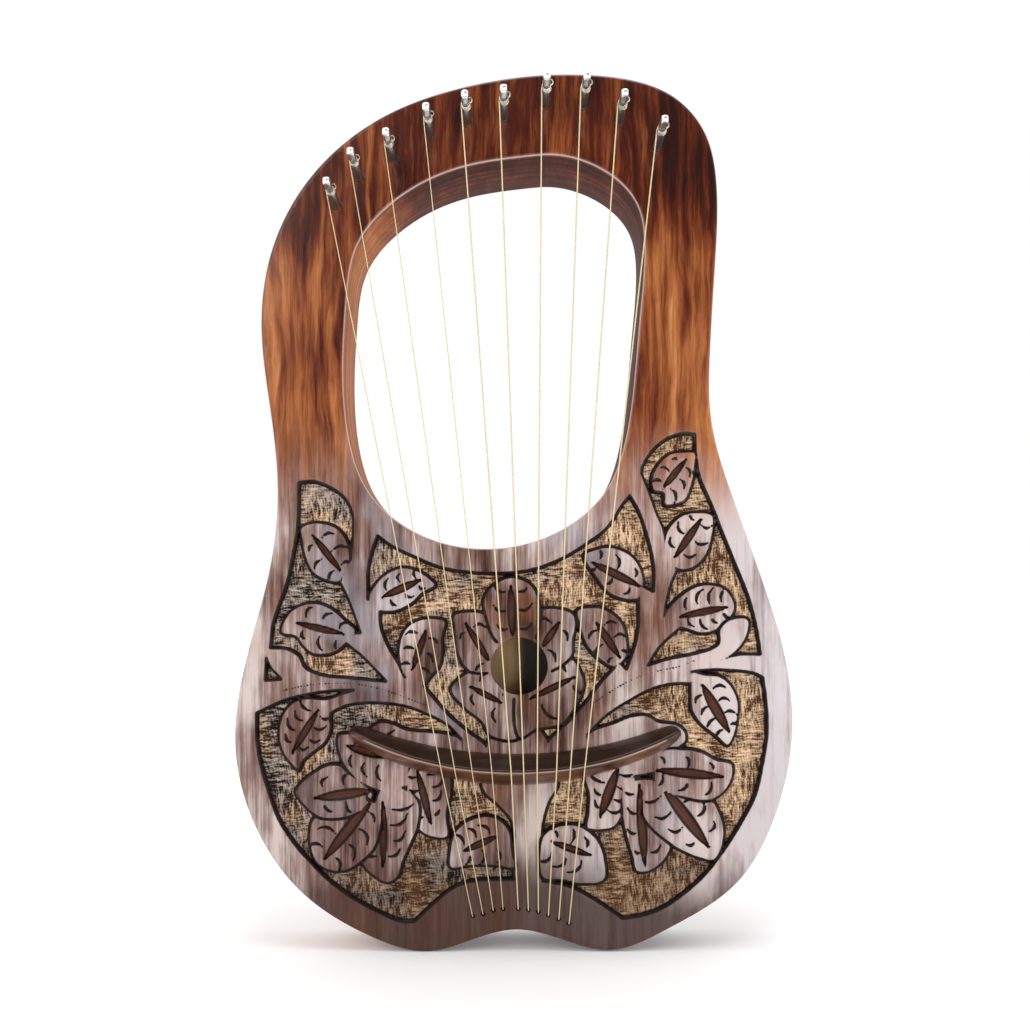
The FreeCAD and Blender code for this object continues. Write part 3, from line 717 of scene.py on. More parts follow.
@dataclass
class Relief:
    """The carving of the front: outlines, sunk ground, overlaps, veins and nicks.

    A drop or depth is how far a cut goes below the face; a run is how far it takes to fade out.
    """

    ground_depth: float = 2.3
    wall_lip: float = 0.03
    wall_run: float = 0.7
    stipple: float = 0.2
    stipple_from: float = 0.9
    stipple_full: float = 1.8
    margin_drop: float = 0.5
    stem_drop: float = 0.12
    margin_run: float = 2.6
    overlap_drop: float = 0.8
    overlap_run: float = 1.6
    trough_depth: float = 0.22
    trough_run: float = 2.5
    calm_run: float = 1.6
    snap_share: float = 0.46
    clear_of_border: float = 0.2
    clear_of_ground: float = 0.5
    inside_margin: float = 0.8
    vein_depth: float = 1.5
    nick_depth: float = 0.8
    nick_half_width: float = 1.0
    line_width: float = 0.85
    heart_radius: float = 20.0
    nick_from: float = 0.16
    nick_span: float = 0.74
    least_room: float = 4.0
    most_room: float = 24.0
    seed: int = 11

    def panel_rings(self) -> list[np.ndarray]:
        """Outlines of the sunk panels, each run smooth and each joint a corner."""
        rings = []
        for runs in PANELS.values():
            starts = [runs[-1][-1], *(run[-1] for run in runs[:-1])]
            lines = [smooth_run([start, *run], MARGIN_STEP) for start, run in zip(starts, runs)]
            rings.append(np.vstack([line[:-1] for line in lines]))
        return rings

    def nick_lines(self, leaf: Leaf, margin: np.ndarray) -> list[np.ndarray]:
        """Short curved cuts on both sides of a leaf's vein.

        Args:
            leaf: the leaf.
            margin: its sampled outline.

        Returns:
            One line of places for each nick.
        """
        tip, base = np.array(leaf.vein[0], float), np.array(leaf.vein[1], float)
        if inside(margin, np.array([tip + (tip - base) * 0.25]))[0]:
            tip, base = base, tip
        along = tip - base
        length = float(np.linalg.norm(along))
        ahead = along / length
        rng = np.random.default_rng(int(abs(tip[0]) * 100 + tip[1]))
        lines = []
        for side in (-1.0, 1.0):
            across = np.array([-ahead[1], ahead[0]]) * side
            for step in range(leaf.nicks):
                share = self.nick_from + self.nick_span * step / max(1, leaf.nicks - 1)
                foot = base + ahead * length * share
                room = self.room(foot, across, margin)
                if room < self.least_room:
                    continue
                first, last, rise = rng.uniform((0.20, 0.62, 0.12), (0.34, 0.84, 0.34))
                start = foot + across * (first * room)
                end = foot + across * (last * room) + ahead * (rise * room)
                bend = foot + across * ((first + last) * 0.6 * room) - ahead * (0.10 * room)
                t = np.linspace(0, 1, 7)[:, None]
                lines.append(start * (1 - t) ** 2 + 2 * bend * t * (1 - t) + end * t**2)
        return lines

    def room(self, foot: np.ndarray, across: np.ndarray, margin: np.ndarray) -> float:
        """Distance from a place on a leaf to its margin, in one direction."""
        steps = np.arange(0.5, self.most_room, 0.5)
        within = inside(margin, foot + across * steps[:, None])
        return float(steps[np.argmin(within)]) if not within.all() else self.most_room

    @staticmethod
    def lens(line: np.ndarray, places: np.ndarray, half_width: float) -> tuple[Field, np.ndarray]:
        """A cut that is widest at its middle and runs out at both ends.

        Args:
            line: its centre line.
            places: the grid places.
            half_width: half its greatest width.

        Returns:
            The field of its centre line, and half the cut's width beside every place.
        """
        cut = Field.of_nothing(places)
        share = np.zeros(len(places))
        near = ((places > line.min(0) - 4) & (places < line.max(0) + 4)).all(1)
        away, share[near] = nearest(line, places[near], closed=False)
        cut.value[near] = np.hypot(away[:, 0], away[:, 1])
        cut.slope[near] = away / np.maximum(cut.value[near], TINY)[:, None]
        width = 1.25 * half_width * np.sin(np.pi * np.clip(share, 0.03, 0.97)) ** 0.6
        return cut, width

    def carve(
        self, grid: SnapGrid, edge_room: np.ndarray, pitch: float
    ) -> tuple[np.ndarray, dict[str, np.ndarray]]:
        """Snaps the grid to every cut line and works out the height of each place.

        Args:
            grid: the front's grid; its free places move.
            edge_room: distance of each place to the front's nearest rim.
            pitch: spacing of the grid.

        Returns:
            Heights above the front face, and named marks from 0 to 1 for the finish.
        """
        places = grid.places
        reach = self.snap_share * pitch
        panels = leaves = Field.of_nothing(places)
        for ring in self.panel_rings():
            panels = panels.either(Field.of_ring(ring, places, FIELD_REACH))
        margins = {
            n: smooth_run(leaf.margin, MARGIN_STEP, closed=True) for n, leaf in LEAVES.items()
        }
        leaf_fields = {n: Field.of_ring(ring, places, FIELD_REACH) for n, ring in margins.items()}
        for one in leaf_fields.values():
            leaves = leaves.either(one)
        ground = panels.both(leaves.flipped())
        grid.snap(ground, reach)

        seen: dict[str, np.ndarray] = {}
        covered = np.zeros(len(places), bool)
        for name, one in reversed(leaf_fields.items()):
            within = panels.value < -self.clear_of_border
            seen[name] = within & (ground.value > self.clear_of_ground) & ~covered
            covered |= one.value < 0
        cuts: list[tuple[Field, np.ndarray, np.ndarray, float]] = []
        covered[:] = False
        for name, leaf in reversed(LEAVES.items()):
            own = (leaf_fields[name].value < -self.inside_margin) & ~covered
            covered |= leaf_fields[name].value < 0
            if leaf.vein is None:
                continue
            vein, width = self.lens(np.array(leaf.vein, float), places, leaf.vein_half_width)
            cuts.append((vein, width, ~covered | own, self.vein_depth))
            for line in self.nick_lines(leaf, margins[name]):
                nick, width = self.lens(line, places, self.nick_half_width)
                cuts.append((nick, width, own, self.nick_depth))
        for name, one in leaf_fields.items():
            grid.snap(one, reach, seen[name])
        for cut, _, where, _ in cuts:
            grid.snap(cut, reach, where)

        rng = np.random.default_rng(self.seed)
        from_ground = ground.after(grid.moves)
        sunk = fade(-from_ground, self.wall_lip, self.wall_run)
        height = -self.ground_depth * sunk
        rough = fade(-from_ground, self.stipple_from, self.stipple_full)
        height += rng.normal(0, self.stipple, len(places)) * rough
        on_leaf = (panels.value < 0) & (from_ground > -0.05)
        drop = np.where(on_leaf, self.margin_drop, self.stem_drop)
        height -= drop * (1 - fade(from_ground, 0, self.margin_run)) * (1 - sunk)
        line = np.exp(-((from_ground / self.line_width) ** 2))
        line = np.where(from_ground < 0, np.exp(-((from_ground / 1.0) ** 2)), line)
        grown = np.ones(len(places))
        for heart in BLOOM_HEARTS:
            away = np.hypot(*(places - heart).T)
            grown = np.minimum(grown, fade(away, 0.45 * self.heart_radius, self.heart_radius))
        for name, one in leaf_fields.items():
            distance = one.after(grid.moves)
            outside = np.where(seen[name] & (distance > -0.3), grown, 0.0)
            under = np.exp(-np.maximum(distance, 0) / self.overlap_run)
            height -= self.overlap_drop * under * outside * (distance < 5)
            outlined = np.exp(-((distance / self.line_width) ** 2))
            line = np.maximum(line, outlined * seen[name] * grown)
        vein_mark = np.zeros(len(places))
        for cut, width, where, depth in cuts:
            distance = np.abs(cut.after(grid.moves))
            share = np.clip(1 - distance / width, 0, 1) * where
            height -= depth * share
            if depth == self.vein_depth:
                vein_mark = np.maximum(vein_mark, np.clip(1.6 * share, 0, 1))
                trough = np.exp(-((distance / self.trough_run) ** 2))
                height -= self.trough_depth * trough * where
            else:
                line = np.maximum(line, np.clip(1.5 * share, 0, 1))
        calm = fade(edge_room, 0.0, self.calm_run)
        marks = {"sunk": sunk * calm, "line": line * calm, "vein": vein_mark * calm}
        return height * calm, marks


@dataclass
class CarvedFrame:
    """The one-piece frame: carved front, rounded arrises, walls, hollow, bores and string slot."""

    pitch: float = 0.9
    coarse_pitch: float = 2.6
    coarse_from: float = 252.0
    coarse_to: float = 318.0
    outer_arris: float = 1.3
    soundhole_arris: float = 0.5
    bore_arris: float = 0.25
    arris_steps: int = 3
    arris_highlight_step: int = 1
    least_hole: float = 5.0
    least_bore: float = 1.5
    relief: Relief = field(default_factory=Relief)

    def build(self, finish: bpy.types.Material) -> bpy.types.Object:
        """Makes the frame and hangs it in place of its CAD node."""
        planes = FramePlanes()
        front, under, bore_floor, slot_floor, ledge, back = planes.levels()
        rims = planes.rims(front)
        outline, opening = (smooth_ring(rim, 2.0) for rim in rims[:2])
        grid, shape = self.lay_grid(outline)
        edges = [
            Edge(Field.of_ring(outline, grid.places), self.outer_arris, back,
                 through=True, rubbed=0.25),
            Edge(Field.of_ring(opening, grid.places).flipped(), self.outer_arris, back,
                 through=True, rubbed=1.0),
        ]
        for rim in rims[2:]:
            centre = (rim.min(0) + rim.max(0)) / 2
            radius = float(np.ptp(rim[:, 0])) / 2
            if radius > self.least_hole:
                arris, floor = self.soundhole_arris, under
            else:
                arris = self.bore_arris
                floor = bore_floor if radius > self.least_bore else slot_floor
            edges.append(Edge(Field.of_disc(centre, radius, grid.places).flipped(), arris, floor))
        region = edges[0].field.shifted(edges[0].arris)
        for edge in edges[1:]:
            region = region.both(edge.field.shifted(edge.arris))
        grid.snap(region, 0.5 * self.pitch)
        height, marks = self.relief.carve(grid, -region.value, self.pitch)
        triangles = self.triangulate(shape, region, grid, height)

        shell = Shell()
        places = grid.moved()
        used, numbers = np.unique(triangles, return_inverse=True)
        shell.add(np.stack([places[used, 0], front - height[used], places[used, 1]], 1))
        triangles = numbers.reshape(-1, 3)
        shell.triangles.append(triangles)
        ends = self.hang_walls(shell, triangles, used, edges, grid, front, back)
        self.close_back(shell, planes, ends, (under, slot_floor, ledge, back))
        mesh = shell.mesh("harp_frame_carved")
        blank = np.zeros(len(shell.points), np.float32)
        for name, values in marks.items():
            whole = blank.copy()
            whole[:len(used)] = values[used]
            mark(mesh, name, whole)
        raw = blank.copy()
        raw[self.inner_from:] = shell.points[self.inner_from:, 1] < back - 0.1
        mark(mesh, "raw", raw)
        rubbed = blank.copy()
        for numbers, amount in self.rubbed:
            rubbed[numbers] = amount
        mark(mesh, "rubbed", rubbed)
        return hang_piece("carved_frame", mesh, ROOT, finish, ["harp_frame"])

    def lay_grid(self, outline: np.ndarray) -> tuple[SnapGrid, tuple[int, int]]:
        """Rows and columns over the whole front, with sparser rows along the plain arms."""
        low, high = outline.min(0), outline.max(0)
        columns = np.arange(low[0] - self.pitch, high[0] + 2 * self.pitch, self.pitch)
        rows = np.concatenate([
            np.arange(low[1] - self.pitch, self.coarse_from, self.pitch),
            np.arange(self.coarse_from, self.coarse_to, self.coarse_pitch),
            np.arange(self.coarse_to, high[1] + 2 * self.pitch, self.pitch),
        ])
        x, z = np.meshgrid(columns, rows)
        return SnapGrid(np.stack([x.ravel(), z.ravel()], 1)), (len(rows), len(columns))

    def triangulate(
        self, shape: tuple[int, int], region: Field, grid: SnapGrid, height: np.ndarray
    ) -> np.ndarray:
        """Splits every cell of the grid and keeps what lies on the front.

        Args:
            shape: rows and columns of the grid.
            region: the front's field, negative on wood.
            grid: the grid after all snaps.
            height: height of each place.

        Returns:
            (n, 3) numbers of grid places.
        """
        rows, columns = shape
        numbers = np.arange(rows * columns).reshape(shape)
        a, b = numbers[:-1, :-1].ravel(), numbers[:-1, 1:].ravel()
        c, d = numbers[1:, 1:].ravel(), numbers[1:, :-1].ravel()
        value = region.after(grid.moves)
        side = np.where(np.abs(value) < 1e-6, 0, np.sign(value))
        steep_ac = np.abs(height[a] - height[c]) + 50 * (side[a] * side[c] < 0)
        steep_bd = np.abs(height[b] - height[d]) + 50 * (side[b] * side[d] < 0)
        by_ac = steep_ac <= steep_bd
        first = np.where(by_ac[:, None], np.stack([a, b, c], 1), np.stack([a, b, d], 1))
        second = np.where(by_ac[:, None], np.stack([a, c, d], 1), np.stack([b, c, d], 1))
        triangles = np.vstack([first, second])
        kept = triangles[(side[triangles] <= 0).all(1)]
        on_rim = (side[kept] == 0).all(1)
        kept = kept[~on_rim | (region.value[kept].mean(1) < 0)]
        places = grid.moved()[kept]
        sides = places[:, 1:] - places[:, :1]
        area = np.abs(sides[:, 0, 0] * sides[:, 1, 1] - sides[:, 0, 1] * sides[:, 1, 0])
        on_rim = (side[kept] == 0).all(1)
        kept = kept[~on_rim | (area > 0.04 * self.pitch**2)]
        return self.untie(kept)

    @staticmethod
    def untie(triangles: np.ndarray) -> np.ndarray:
        """Drops triangles that hang on the rim by one corner, until every rim is a simple loop."""
        while True:
            edges = np.sort(edges_of(triangles), 1)
            keys, back, count = np.unique(edges, axis=0, return_inverse=True, return_counts=True)
            rim = keys[count == 1]
            ends, times = np.unique(rim, return_counts=True)
            knots = ends[times > 2]
            if not len(knots):
                return triangles
            rim_edges = (count[back.ravel()] == 1).reshape(3, -1).sum(0)
            touching = np.isin(triangles, knots).any(1)
            loose = touching & (rim_edges >= rim_edges[touching].max())
            triangles = triangles[~loose]

    def hang_walls(
        self,
        shell: Shell,
        triangles: np.ndarray,
        used: np.ndarray,
        edges: list[Edge],
        grid: SnapGrid,
        front: float,
        back: float,
    ) -> list[tuple[Edge, list[int]]]:
        """Rounds each rim of the front over and runs its wall down to its floor.

        Args:
            shell: the mesh, holding the front already.
            triangles: the front's triangles in the shell's numbers.
            used: grid number of each front point.
            edges: the rims.
            grid: the snapped grid.
            front: depth of the front face.
            back: depth of the back face.

        Returns:
            Each rim with the ring of points at the end of its wall.
        """
        ends = []
        self.rubbed: list[tuple[list[int], float]] = []
        places = grid.moved()
        for loop in chain_loops(triangles):
            spots = used[loop]
            edge = min(edges, key=lambda e: abs(e.field.after(grid.moves)[spots] + e.arris).mean())
            value = edge.field.after(grid.moves)[spots][:, None]
            slope = edge.field.slope[spots]
            steps = range(1, self.arris_steps + 1)
            turns = [math.pi / 2 * step / self.arris_steps for step in steps]
            courses = [(turn, front + edge.arris * (1 - math.cos(turn))) for turn in turns]
            if edge.through:
                back_turns = reversed([0.0, *turns])
                courses += [(turn, back - edge.arris * (1 - math.cos(turn))) for turn in back_turns]
            else:
                courses.append((math.pi / 2, edge.floor))
            ring = loop
            for number, (turn, depth) in enumerate(courses):
                reach = edge.arris * (math.sin(turn) - 1)
                following = shell.ring_at(places[spots] + slope * (reach - value), depth)
                shell.band(ring, following)
                # This course of the rounding carries the painted highlight.
                if number == self.arris_highlight_step:
                    self.rubbed.append((following, edge.rubbed))
                ring = following
            ends.append((edge, ring))
        return ends

    def close_back(
        self,
        shell: Shell,
        planes: FramePlanes,
        ends: list[tuple[Edge, list[int]]],
        levels: tuple[float, float, float, float],
    ) -> None:
        """Adds the back face, the seat of the back board, the hollow and the string slot.

        Args:
            shell: the mesh, holding the front and all walls.
            planes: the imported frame's flat faces.
            ends: the ring at the end of each wall.
            levels: depths of the soundboard's inner face, the slot, the ledge and the back.
        """
        under, slot_floor, ledge, back = levels
        self.inner_from = len(shell.points)
        _, seat_rim, _, slot_rim = planes.rims(back)
        hollow_rim = planes.rims(ledge)[1]
        walls = []
        for rim, top, low in (
            (seat_rim, back, ledge), (hollow_rim, ledge, under), (slot_rim, back, slot_floor)
        ):
            walls.append((shell.ring_at(rim, top), shell.ring_at(rim, low)))
        for top_ring, low_ring in walls:
            shell.band(top_ring, low_ring)
        (seat_top, seat_low), (hollow_top, hollow_low), (slot_top, slot_low) = walls
        shell.plate(seat_low, hollow_top)
        through = [ring for edge, ring in ends if edge.through]
        through.sort(key=lambda ring: -np.ptp(shell.points[ring][:, 2]))
        shell.plate(through[0], through[1], seat_top, slot_top)
        shell.plate(hollow_low, *[ring for edge, ring in ends if edge.floor == under])
        shell.plate(slot_low, *[ring for edge, ring in ends if edge.floor == slot_floor])
        for edge, ring in ends:
            if not edge.through and edge.floor not in (under, slot_floor):
                shell.plate(ring)


# ---------------------------------------------------------------------------------------- finishes
class Value:
    """A shader socket that can stand in an expression; each operator adds a Math node."""

    def __init__(self, graph: "Graph", socket: bpy.types.NodeSocket) -> None:
        """Wraps a socket of a graph."""
        self.graph = graph
        self.socket = socket

    def _math(self, operation: str, *terms: "Value | float") -> "Value":
        """One Math node of some terms."""
        return self.graph.value("ShaderNodeMath", {"operation": operation}, dict(enumerate(terms)))

    def __add__(self, other: "Value | float") -> "Value":
        """Sum."""
        return self._math("ADD", self, other)

    def __sub__(self, other: "Value | float") -> "Value":
        """Difference."""
        return self._math("SUBTRACT", self, other)

    def __rsub__(self, other: float) -> "Value":
        """A number less this value."""
        return self._math("SUBTRACT", other, self)

    def __mul__(self, other: "Value | float") -> "Value":
        """Product."""
        return self._math("MULTIPLY", self, other)

    __radd__ = __add__
    __rmul__ = __mul__

    def clamped(self) -> "Value":
        """Kept between 0 and 1."""
        return self._math("MAXIMUM", self._math("MINIMUM", self, 1.0), 0.0)

    def sine(self) -> "Value":
        """Its sine."""
        return self._math("SINE", self)

    def size(self) -> "Value":
        """Its size without its sign."""
        return self._math("ABSOLUTE", self)


class Graph:
    """The node tree of one material."""

    def __init__(self, name: str) -> None:
        """Makes an empty material."""
        self.material = bpy.data.materials.new(name)
        self.material.use_nodes = True
        self.tree = self.material.node_tree
        self.tree.nodes.clear()
        self.here = self.value("ShaderNodeTexCoord", output="Object")

    def value(
        self,
        kind: str,
        settings: dict | None = None,
        inputs: dict | None = None,
        output: int | str = 0,
    ) -> Value:
        """One output of a new node."""
        return Value(self, add_node(self.tree, kind, settings, inputs).outputs[output])

    def mark(self, name: str) -> Value:
        """A number stored on the mesh's points."""
        return self.value("ShaderNodeAttribute", {"attribute_name": name}, output="Fac")

    def axes(self) -> tuple[Value, Value, Value]:
        """The three coordinates, in metres."""
        split = add_node(self.tree, "ShaderNodeSeparateXYZ", inputs={0: self.here})
        return tuple(Value(self, output) for output in split.outputs)

    def vector(self, x: Value, y: Value, z: Value) -> Value:
        """Three numbers as a vector."""
        return self.value("ShaderNodeCombineXYZ", inputs={0: x, 1: y, 2: z})

    def noise(self, where: "Value | Rates", detail: float = 3.0, rough: float = 0.55) -> Value:
        """Soft noise from 0 to 1.

        Args:
            where: a place, or how many cells a metre holds along each axis.
            detail: how many finer layers it has.
            rough: how strong those are.
        """
        if not isinstance(where, Value):
            scaled = {0: self.here, 1: tuple(where)}
            where = self.value("ShaderNodeVectorMath", {"operation": "MULTIPLY"}, scaled)
        inputs = {"Vector": where, "Scale": 1.0, "Detail": detail, "Roughness": rough}
        return self.value("ShaderNodeTexNoise", inputs=inputs)

    def ramp(self, share: Value, stops: list[tuple[float, Colour]]) -> Value:
        """A colour that runs through stops."""
        return self.value("ShaderNodeValToRGB", {"stops": stops}, {0: share})

    def mix(self, share: Value, first: "Value | Colour", second: "Value | Colour") -> Value:
        """Two colours mixed."""
        settings = {"data_type": "RGBA", "blend_type": "MIX"}
        return self.value("ShaderNodeMix", settings, {0: share, 6: first, 7: second}, output=2)

    def step(self, value: Value, low: float, high: float) -> Value:
        """Smooth step of a value between two levels."""
        inputs = {"Value": value, "From Min": low, "From Max": high}
        return self.value("ShaderNodeMapRange", {"interpolation_type": "SMOOTHSTEP"}, inputs)

    def bump(self, height: Value, distance: float, strength: float) -> Value:
        """A normal that follows a height, whose full range is a distance in metres."""
        inputs = {"Height": height, "Distance": distance, "Strength": strength}
        return self.value("ShaderNodeBump", inputs=inputs)

    def finish(self, **sockets: "Value | float | Colour") -> bpy.types.Material:
        """Ends the tree in one Principled shader.

        Args:
            sockets: its inputs, with _ for a space in their names.

        Returns:
            The material.
        """
        inputs = {name.replace("_", " "): value for name, value in sockets.items()}
        shader = self.value("ShaderNodeBsdfPrincipled", inputs=inputs)
        add_node(self.tree, "ShaderNodeOutputMaterial", inputs={0: shader})
        return self.material


@dataclass(frozen=True)
class Rosewood:
    """Oiled rosewood with long dark streaks and open pores."""

    name: str
    dark: Colour = (0.020, 0.003, 0.001)
    deep: Colour = (0.072, 0.011, 0.003)
    middle: Colour = (0.180, 0.043, 0.012)
    light: Colour = (0.360, 0.120, 0.036)
    gold: Colour = (0.620, 0.300, 0.120)
    levels: tuple[float, ...] = (0.30, 0.43, 0.54, 0.68, 0.88)
    along: Rates = (190.0, 60.0, 14.0)
    pores: Rates = (900.0, 500.0, 26.0)
    pore_depth: float = 0.00012
    roughness: float = 0.28
    coat: float = 0.5
    coat_roughness: float = 0.14

    def tint(self, graph: Graph, tone: Value) -> Value:
        """The wood's colour for a tone from 0 to 1."""
        colours = (self.dark, self.deep, self.middle, self.light, self.gold)
        return graph.ramp(tone, list(zip(self.levels, colours)))

    def grain(self, graph: Graph) -> tuple[Value, Value]:
        """The bare wood's tone and its pores, both from 0 to 1.

        Args:
            graph: the material's tree.

        Returns:
            The tone, which is 0.5 on the average, and the pores.
        """
        x, y, z = graph.axes()
        drift = graph.noise((24, 24, 10), detail=3) - 0.5
        bent = (x + drift * 0.022) * self.along[0], y * self.along[1], z * self.along[2]
        streaks = graph.noise(graph.vector(*bent), detail=7, rough=0.66)
        clouds = graph.noise((28, 28, 15), detail=4)
        pores = graph.noise(self.pores, detail=2)
        return streaks * 1.0 + clouds * 0.5 + (pores - 0.5) * 0.16 - 0.25, pores

    def make(self) -> bpy.types.Material:
        """The finish as a material."""
        graph = Graph(self.name)
        tone, pores = self.grain(graph)
        return graph.finish(
            Base_Color=self.tint(graph, tone),
            Roughness=(self.roughness + 0.12 * (1 - tone)).clamped(),
            Specular_IOR_Level=0.3,
            Coat_Weight=self.coat,
            Coat_Roughness=self.coat_roughness,
            Normal=graph.bump(pores, self.pore_depth, 0.5),
        )


@dataclass(frozen=True)
class BridgeRosewood(Rosewood):
    """Dark rosewood of the bridge, with a painted highlight along the crest and painted shade over
    its upper flank.
    """

    def tint(self, graph: Graph, tone: Value) -> Value:
        """The wood's colour, with a painted highlight on its crest line and painted shade on its
        upper flank.
        """
        upper = graph.mix(graph.mark("upper") * 0.85, super().tint(graph, tone), self.dark)
        return graph.mix(graph.mark("crest") * 0.75, upper, self.gold)


@dataclass(frozen=True)
class CarvedRosewood(Rosewood):
    """Rosewood of the frame: glossy arms, a pale front low down, worn and with a painted sheen, and
    a hatched dark ground.
    """

    # Tones of the pale low front: the lacquer's wear with a painted sheen over it.
    sheen_and_wear: tuple[tuple[float, Colour], ...] = (
        (0.28, (0.024, 0.009, 0.007)), (0.40, (0.115, 0.060, 0.050)),
        (0.54, (0.270, 0.180, 0.160)), (0.74, (0.600, 0.495, 0.470)),
    )
    bluish: Colour = (0.340, 0.345, 0.400)
    rust: Colour = (0.360, 0.130, 0.045)
    bottom: Colour = (0.028, 0.010, 0.006)
    bottom_fibre: Colour = (0.085, 0.042, 0.032)
    glare: Colour = (0.560, 0.565, 0.640)
    ground_dark: Colour = (0.008, 0.004, 0.003)
    ground_brown: Colour = (0.075, 0.028, 0.011)
    ground_gold: Colour = (0.860, 0.590, 0.370)
    ground_grey: Colour = (0.560, 0.440, 0.370)
    burnt: Colour = (0.008, 0.003, 0.002)
    vein_red: Colour = (0.120, 0.036, 0.018)
    raw_wood: Colour = (0.300, 0.170, 0.070)
    raw_fibre: Colour = (0.420, 0.260, 0.120)
    highlight_pink: Colour = (0.700, 0.480, 0.410)
    hatch_pitch: float = 0.0013
    carved_relief: float = 0.00035

    def hatch(self, graph: Graph) -> Value:
        """Criss-cross tool marks of the ground, from 0 to 1."""
        x, _, z = graph.axes()
        wobble = graph.noise((70, 70, 70), detail=2) - 0.5
        shake = graph.noise((400, 400, 300), detail=2) - 0.5
        turn = 2 * math.pi / self.hatch_pitch
        across = ((x + wobble * 0.006 + shake * 0.0012 + z * 0.15) * turn).sine() * 0.5 + 0.5
        upward = ((z + wobble * 0.005 + shake * 0.0014 - x * 0.10) * turn).sine() * 0.5 + 0.5
        tall = graph.noise((760, 400, 190), detail=3, rough=0.7)
        wide = graph.noise((190, 400, 760), detail=3, rough=0.7)
        way = graph.step(graph.noise((38, 38, 38), detail=1), 0.44, 0.56)
        chips = tall * (1 - way) + wide * way
        strength = graph.noise((110, 110, 90), detail=2)
        marks = across * 0.26 + upward * 0.26 + (chips - 0.5) * 4.2 + (strength - 0.5) * 1.8 + 0.10
        return marks.clamped()

    def front(self, graph: Graph, bare: Value) -> tuple[Value, Value, Value]:
        """The pale low front over the bare wood: the lacquer's wear with a painted sheen, painted
        light on its right side and painted glare on its right border.

        Args:
            graph: the material's tree.
            bare: the wood's own colour.

        Returns:
            The colour, how much of the pale front it has, and its fibres.
        """
        x, y, z = graph.axes()
        cloud = graph.noise((36, 36, 16), detail=4)
        fibres = graph.noise((430, 200, 18), detail=4, rough=0.7)
        facing = graph.step(y * -1, 0.026, 0.0315)
        amount = graph.step(z + (cloud - 0.5) * 0.06, 0.250, 0.190)
        border = graph.step(x.size() + (cloud - 0.5) * 0.04, 0.085, 0.125)
        # Painted light: the right side of the front is lighter, as if lit from the right.
        lit_right_side = graph.step(x, -0.030, 0.110)
        heart = graph.step(x * x * 0.8 + (z - 0.128) * (z - 0.128), 0.0022, 0.0004)
        tone = cloud * 1.2 + fibres * 0.8 + border * 0.06 + lit_right_side * 0.13 - heart * 0.13 - 0.48
        sheen_and_wear = graph.ramp(tone, list(self.sheen_and_wear))
        patches = graph.noise((24, 24, 17), detail=3)
        sheen_and_wear = graph.mix(graph.step(patches, 0.53, 0.68) * 0.5 * (1 - border), sheen_and_wear, self.bluish)
        rust = graph.step(patches, 0.46, 0.34)
        sheen_and_wear = graph.mix(rust * (0.05 + fibres * 0.45) * (1 - lit_right_side * 0.7), sheen_and_wear, self.rust)
        # Painted glare along the right border.
        sheen_and_wear = graph.mix(lit_right_side * border * (0.10 + fibres * 0.7), sheen_and_wear, self.glare)
        low = graph.step(z + x.size() * 0.22 + (cloud - 0.5) * 0.03, 0.062, 0.034)
        dim = graph.mix(fibres, self.bottom, self.bottom_fibre)
        sheen_and_wear = graph.mix(low * 0.92, sheen_and_wear, dim)
        share = (amount * facing * (0.72 + cloud * 0.5)).clamped()
        return graph.mix(share, bare, sheen_and_wear), amount * facing, fibres

    def ground(self, graph: Graph, marks: Value) -> Value:
        """Colour of the sunk ground, golden on the right and here and there greyish."""
        x, _, z = graph.axes()
        patch = graph.step(graph.noise((34, 34, 34), detail=2) + x * 0.7, 0.34, 0.56)
        bright = graph.mix(patch, self.ground_grey, self.ground_gold)
        low = graph.mix(patch, self.ground_dark, self.ground_brown)
        return graph.mix(marks * (0.50 + 0.50 * graph.step(z, 0.035, 0.070)), low, bright)

    def make(self) -> bpy.types.Material:
        """The finish as a material."""
        graph = Graph(self.name)
        x, y, z = graph.axes()
        tone, pores = self.grain(graph)
        lift = 0.13 - 0.075 * graph.step(z, 0.245, 0.30) - 0.14 * graph.step(z, 0.305, 0.360)
        # Painted light: the left wall of the opening is lighter, as the wall that faces the light.
        lit_left_wall = graph.step(x, -0.040, -0.072)
        lines = graph.noise((10, 620, 10), detail=5, rough=0.7)
        side = graph.step(y * -1, 0.0315, 0.029)
        tone = tone * (1 - side * 0.7) + side * (lines * 0.6 - 0.06 + lit_left_wall * 0.27)
        tone = tone + lift * (1 - side)
        names = ("sunk", "line", "vein", "raw", "rubbed")
        sunk, line, vein, raw, rubbed = (graph.mark(name) for name in names)
        colour, amount, fibres = self.front(graph, self.tint(graph, tone))
        marks = self.hatch(graph)
        colour = graph.mix(sunk, colour, self.ground(graph, marks))
        colour = graph.mix(graph.step(vein, 0.05, 0.35), colour, self.burnt)
        vein_floor = graph.step(vein, 0.72, 1.0) * (0.30 + fibres * 0.8)
        colour = graph.mix(vein_floor, colour, self.vein_red)
        ragged = graph.step(line * (0.70 + fibres * 0.6), 0.28, 0.62)
        colour = graph.mix(ragged, colour, self.burnt)
        # Painted highlight along the front arrises of the opening and the outline.
        colour = graph.mix(rubbed * 0.8, colour, self.highlight_pink)
        inside_wood = graph.mix(fibres, self.raw_wood, self.raw_fibre)
        colour = graph.mix(raw, colour, inside_wood)
        height = pores * 0.25 * (1 - sunk) + marks * sunk * 1.6
        rough = 0.26 + amount * 0.16 + sunk * 0.25 + side * 0.3 + raw * 0.3 + (1 - tone) * 0.08
        rough = rough.clamped()
        coat = self.coat * (1 - sunk) * (1 - raw) * (1 - side) * (1 - amount * 0.8)
        return graph.finish(
            Base_Color=colour,
            Roughness=rough,
            Specular_IOR_Level=0.16,
            Coat_Weight=coat.clamped(),
            Coat_Roughness=0.12,
            Normal=graph.bump(height, self.carved_relief, 0.8),
        )


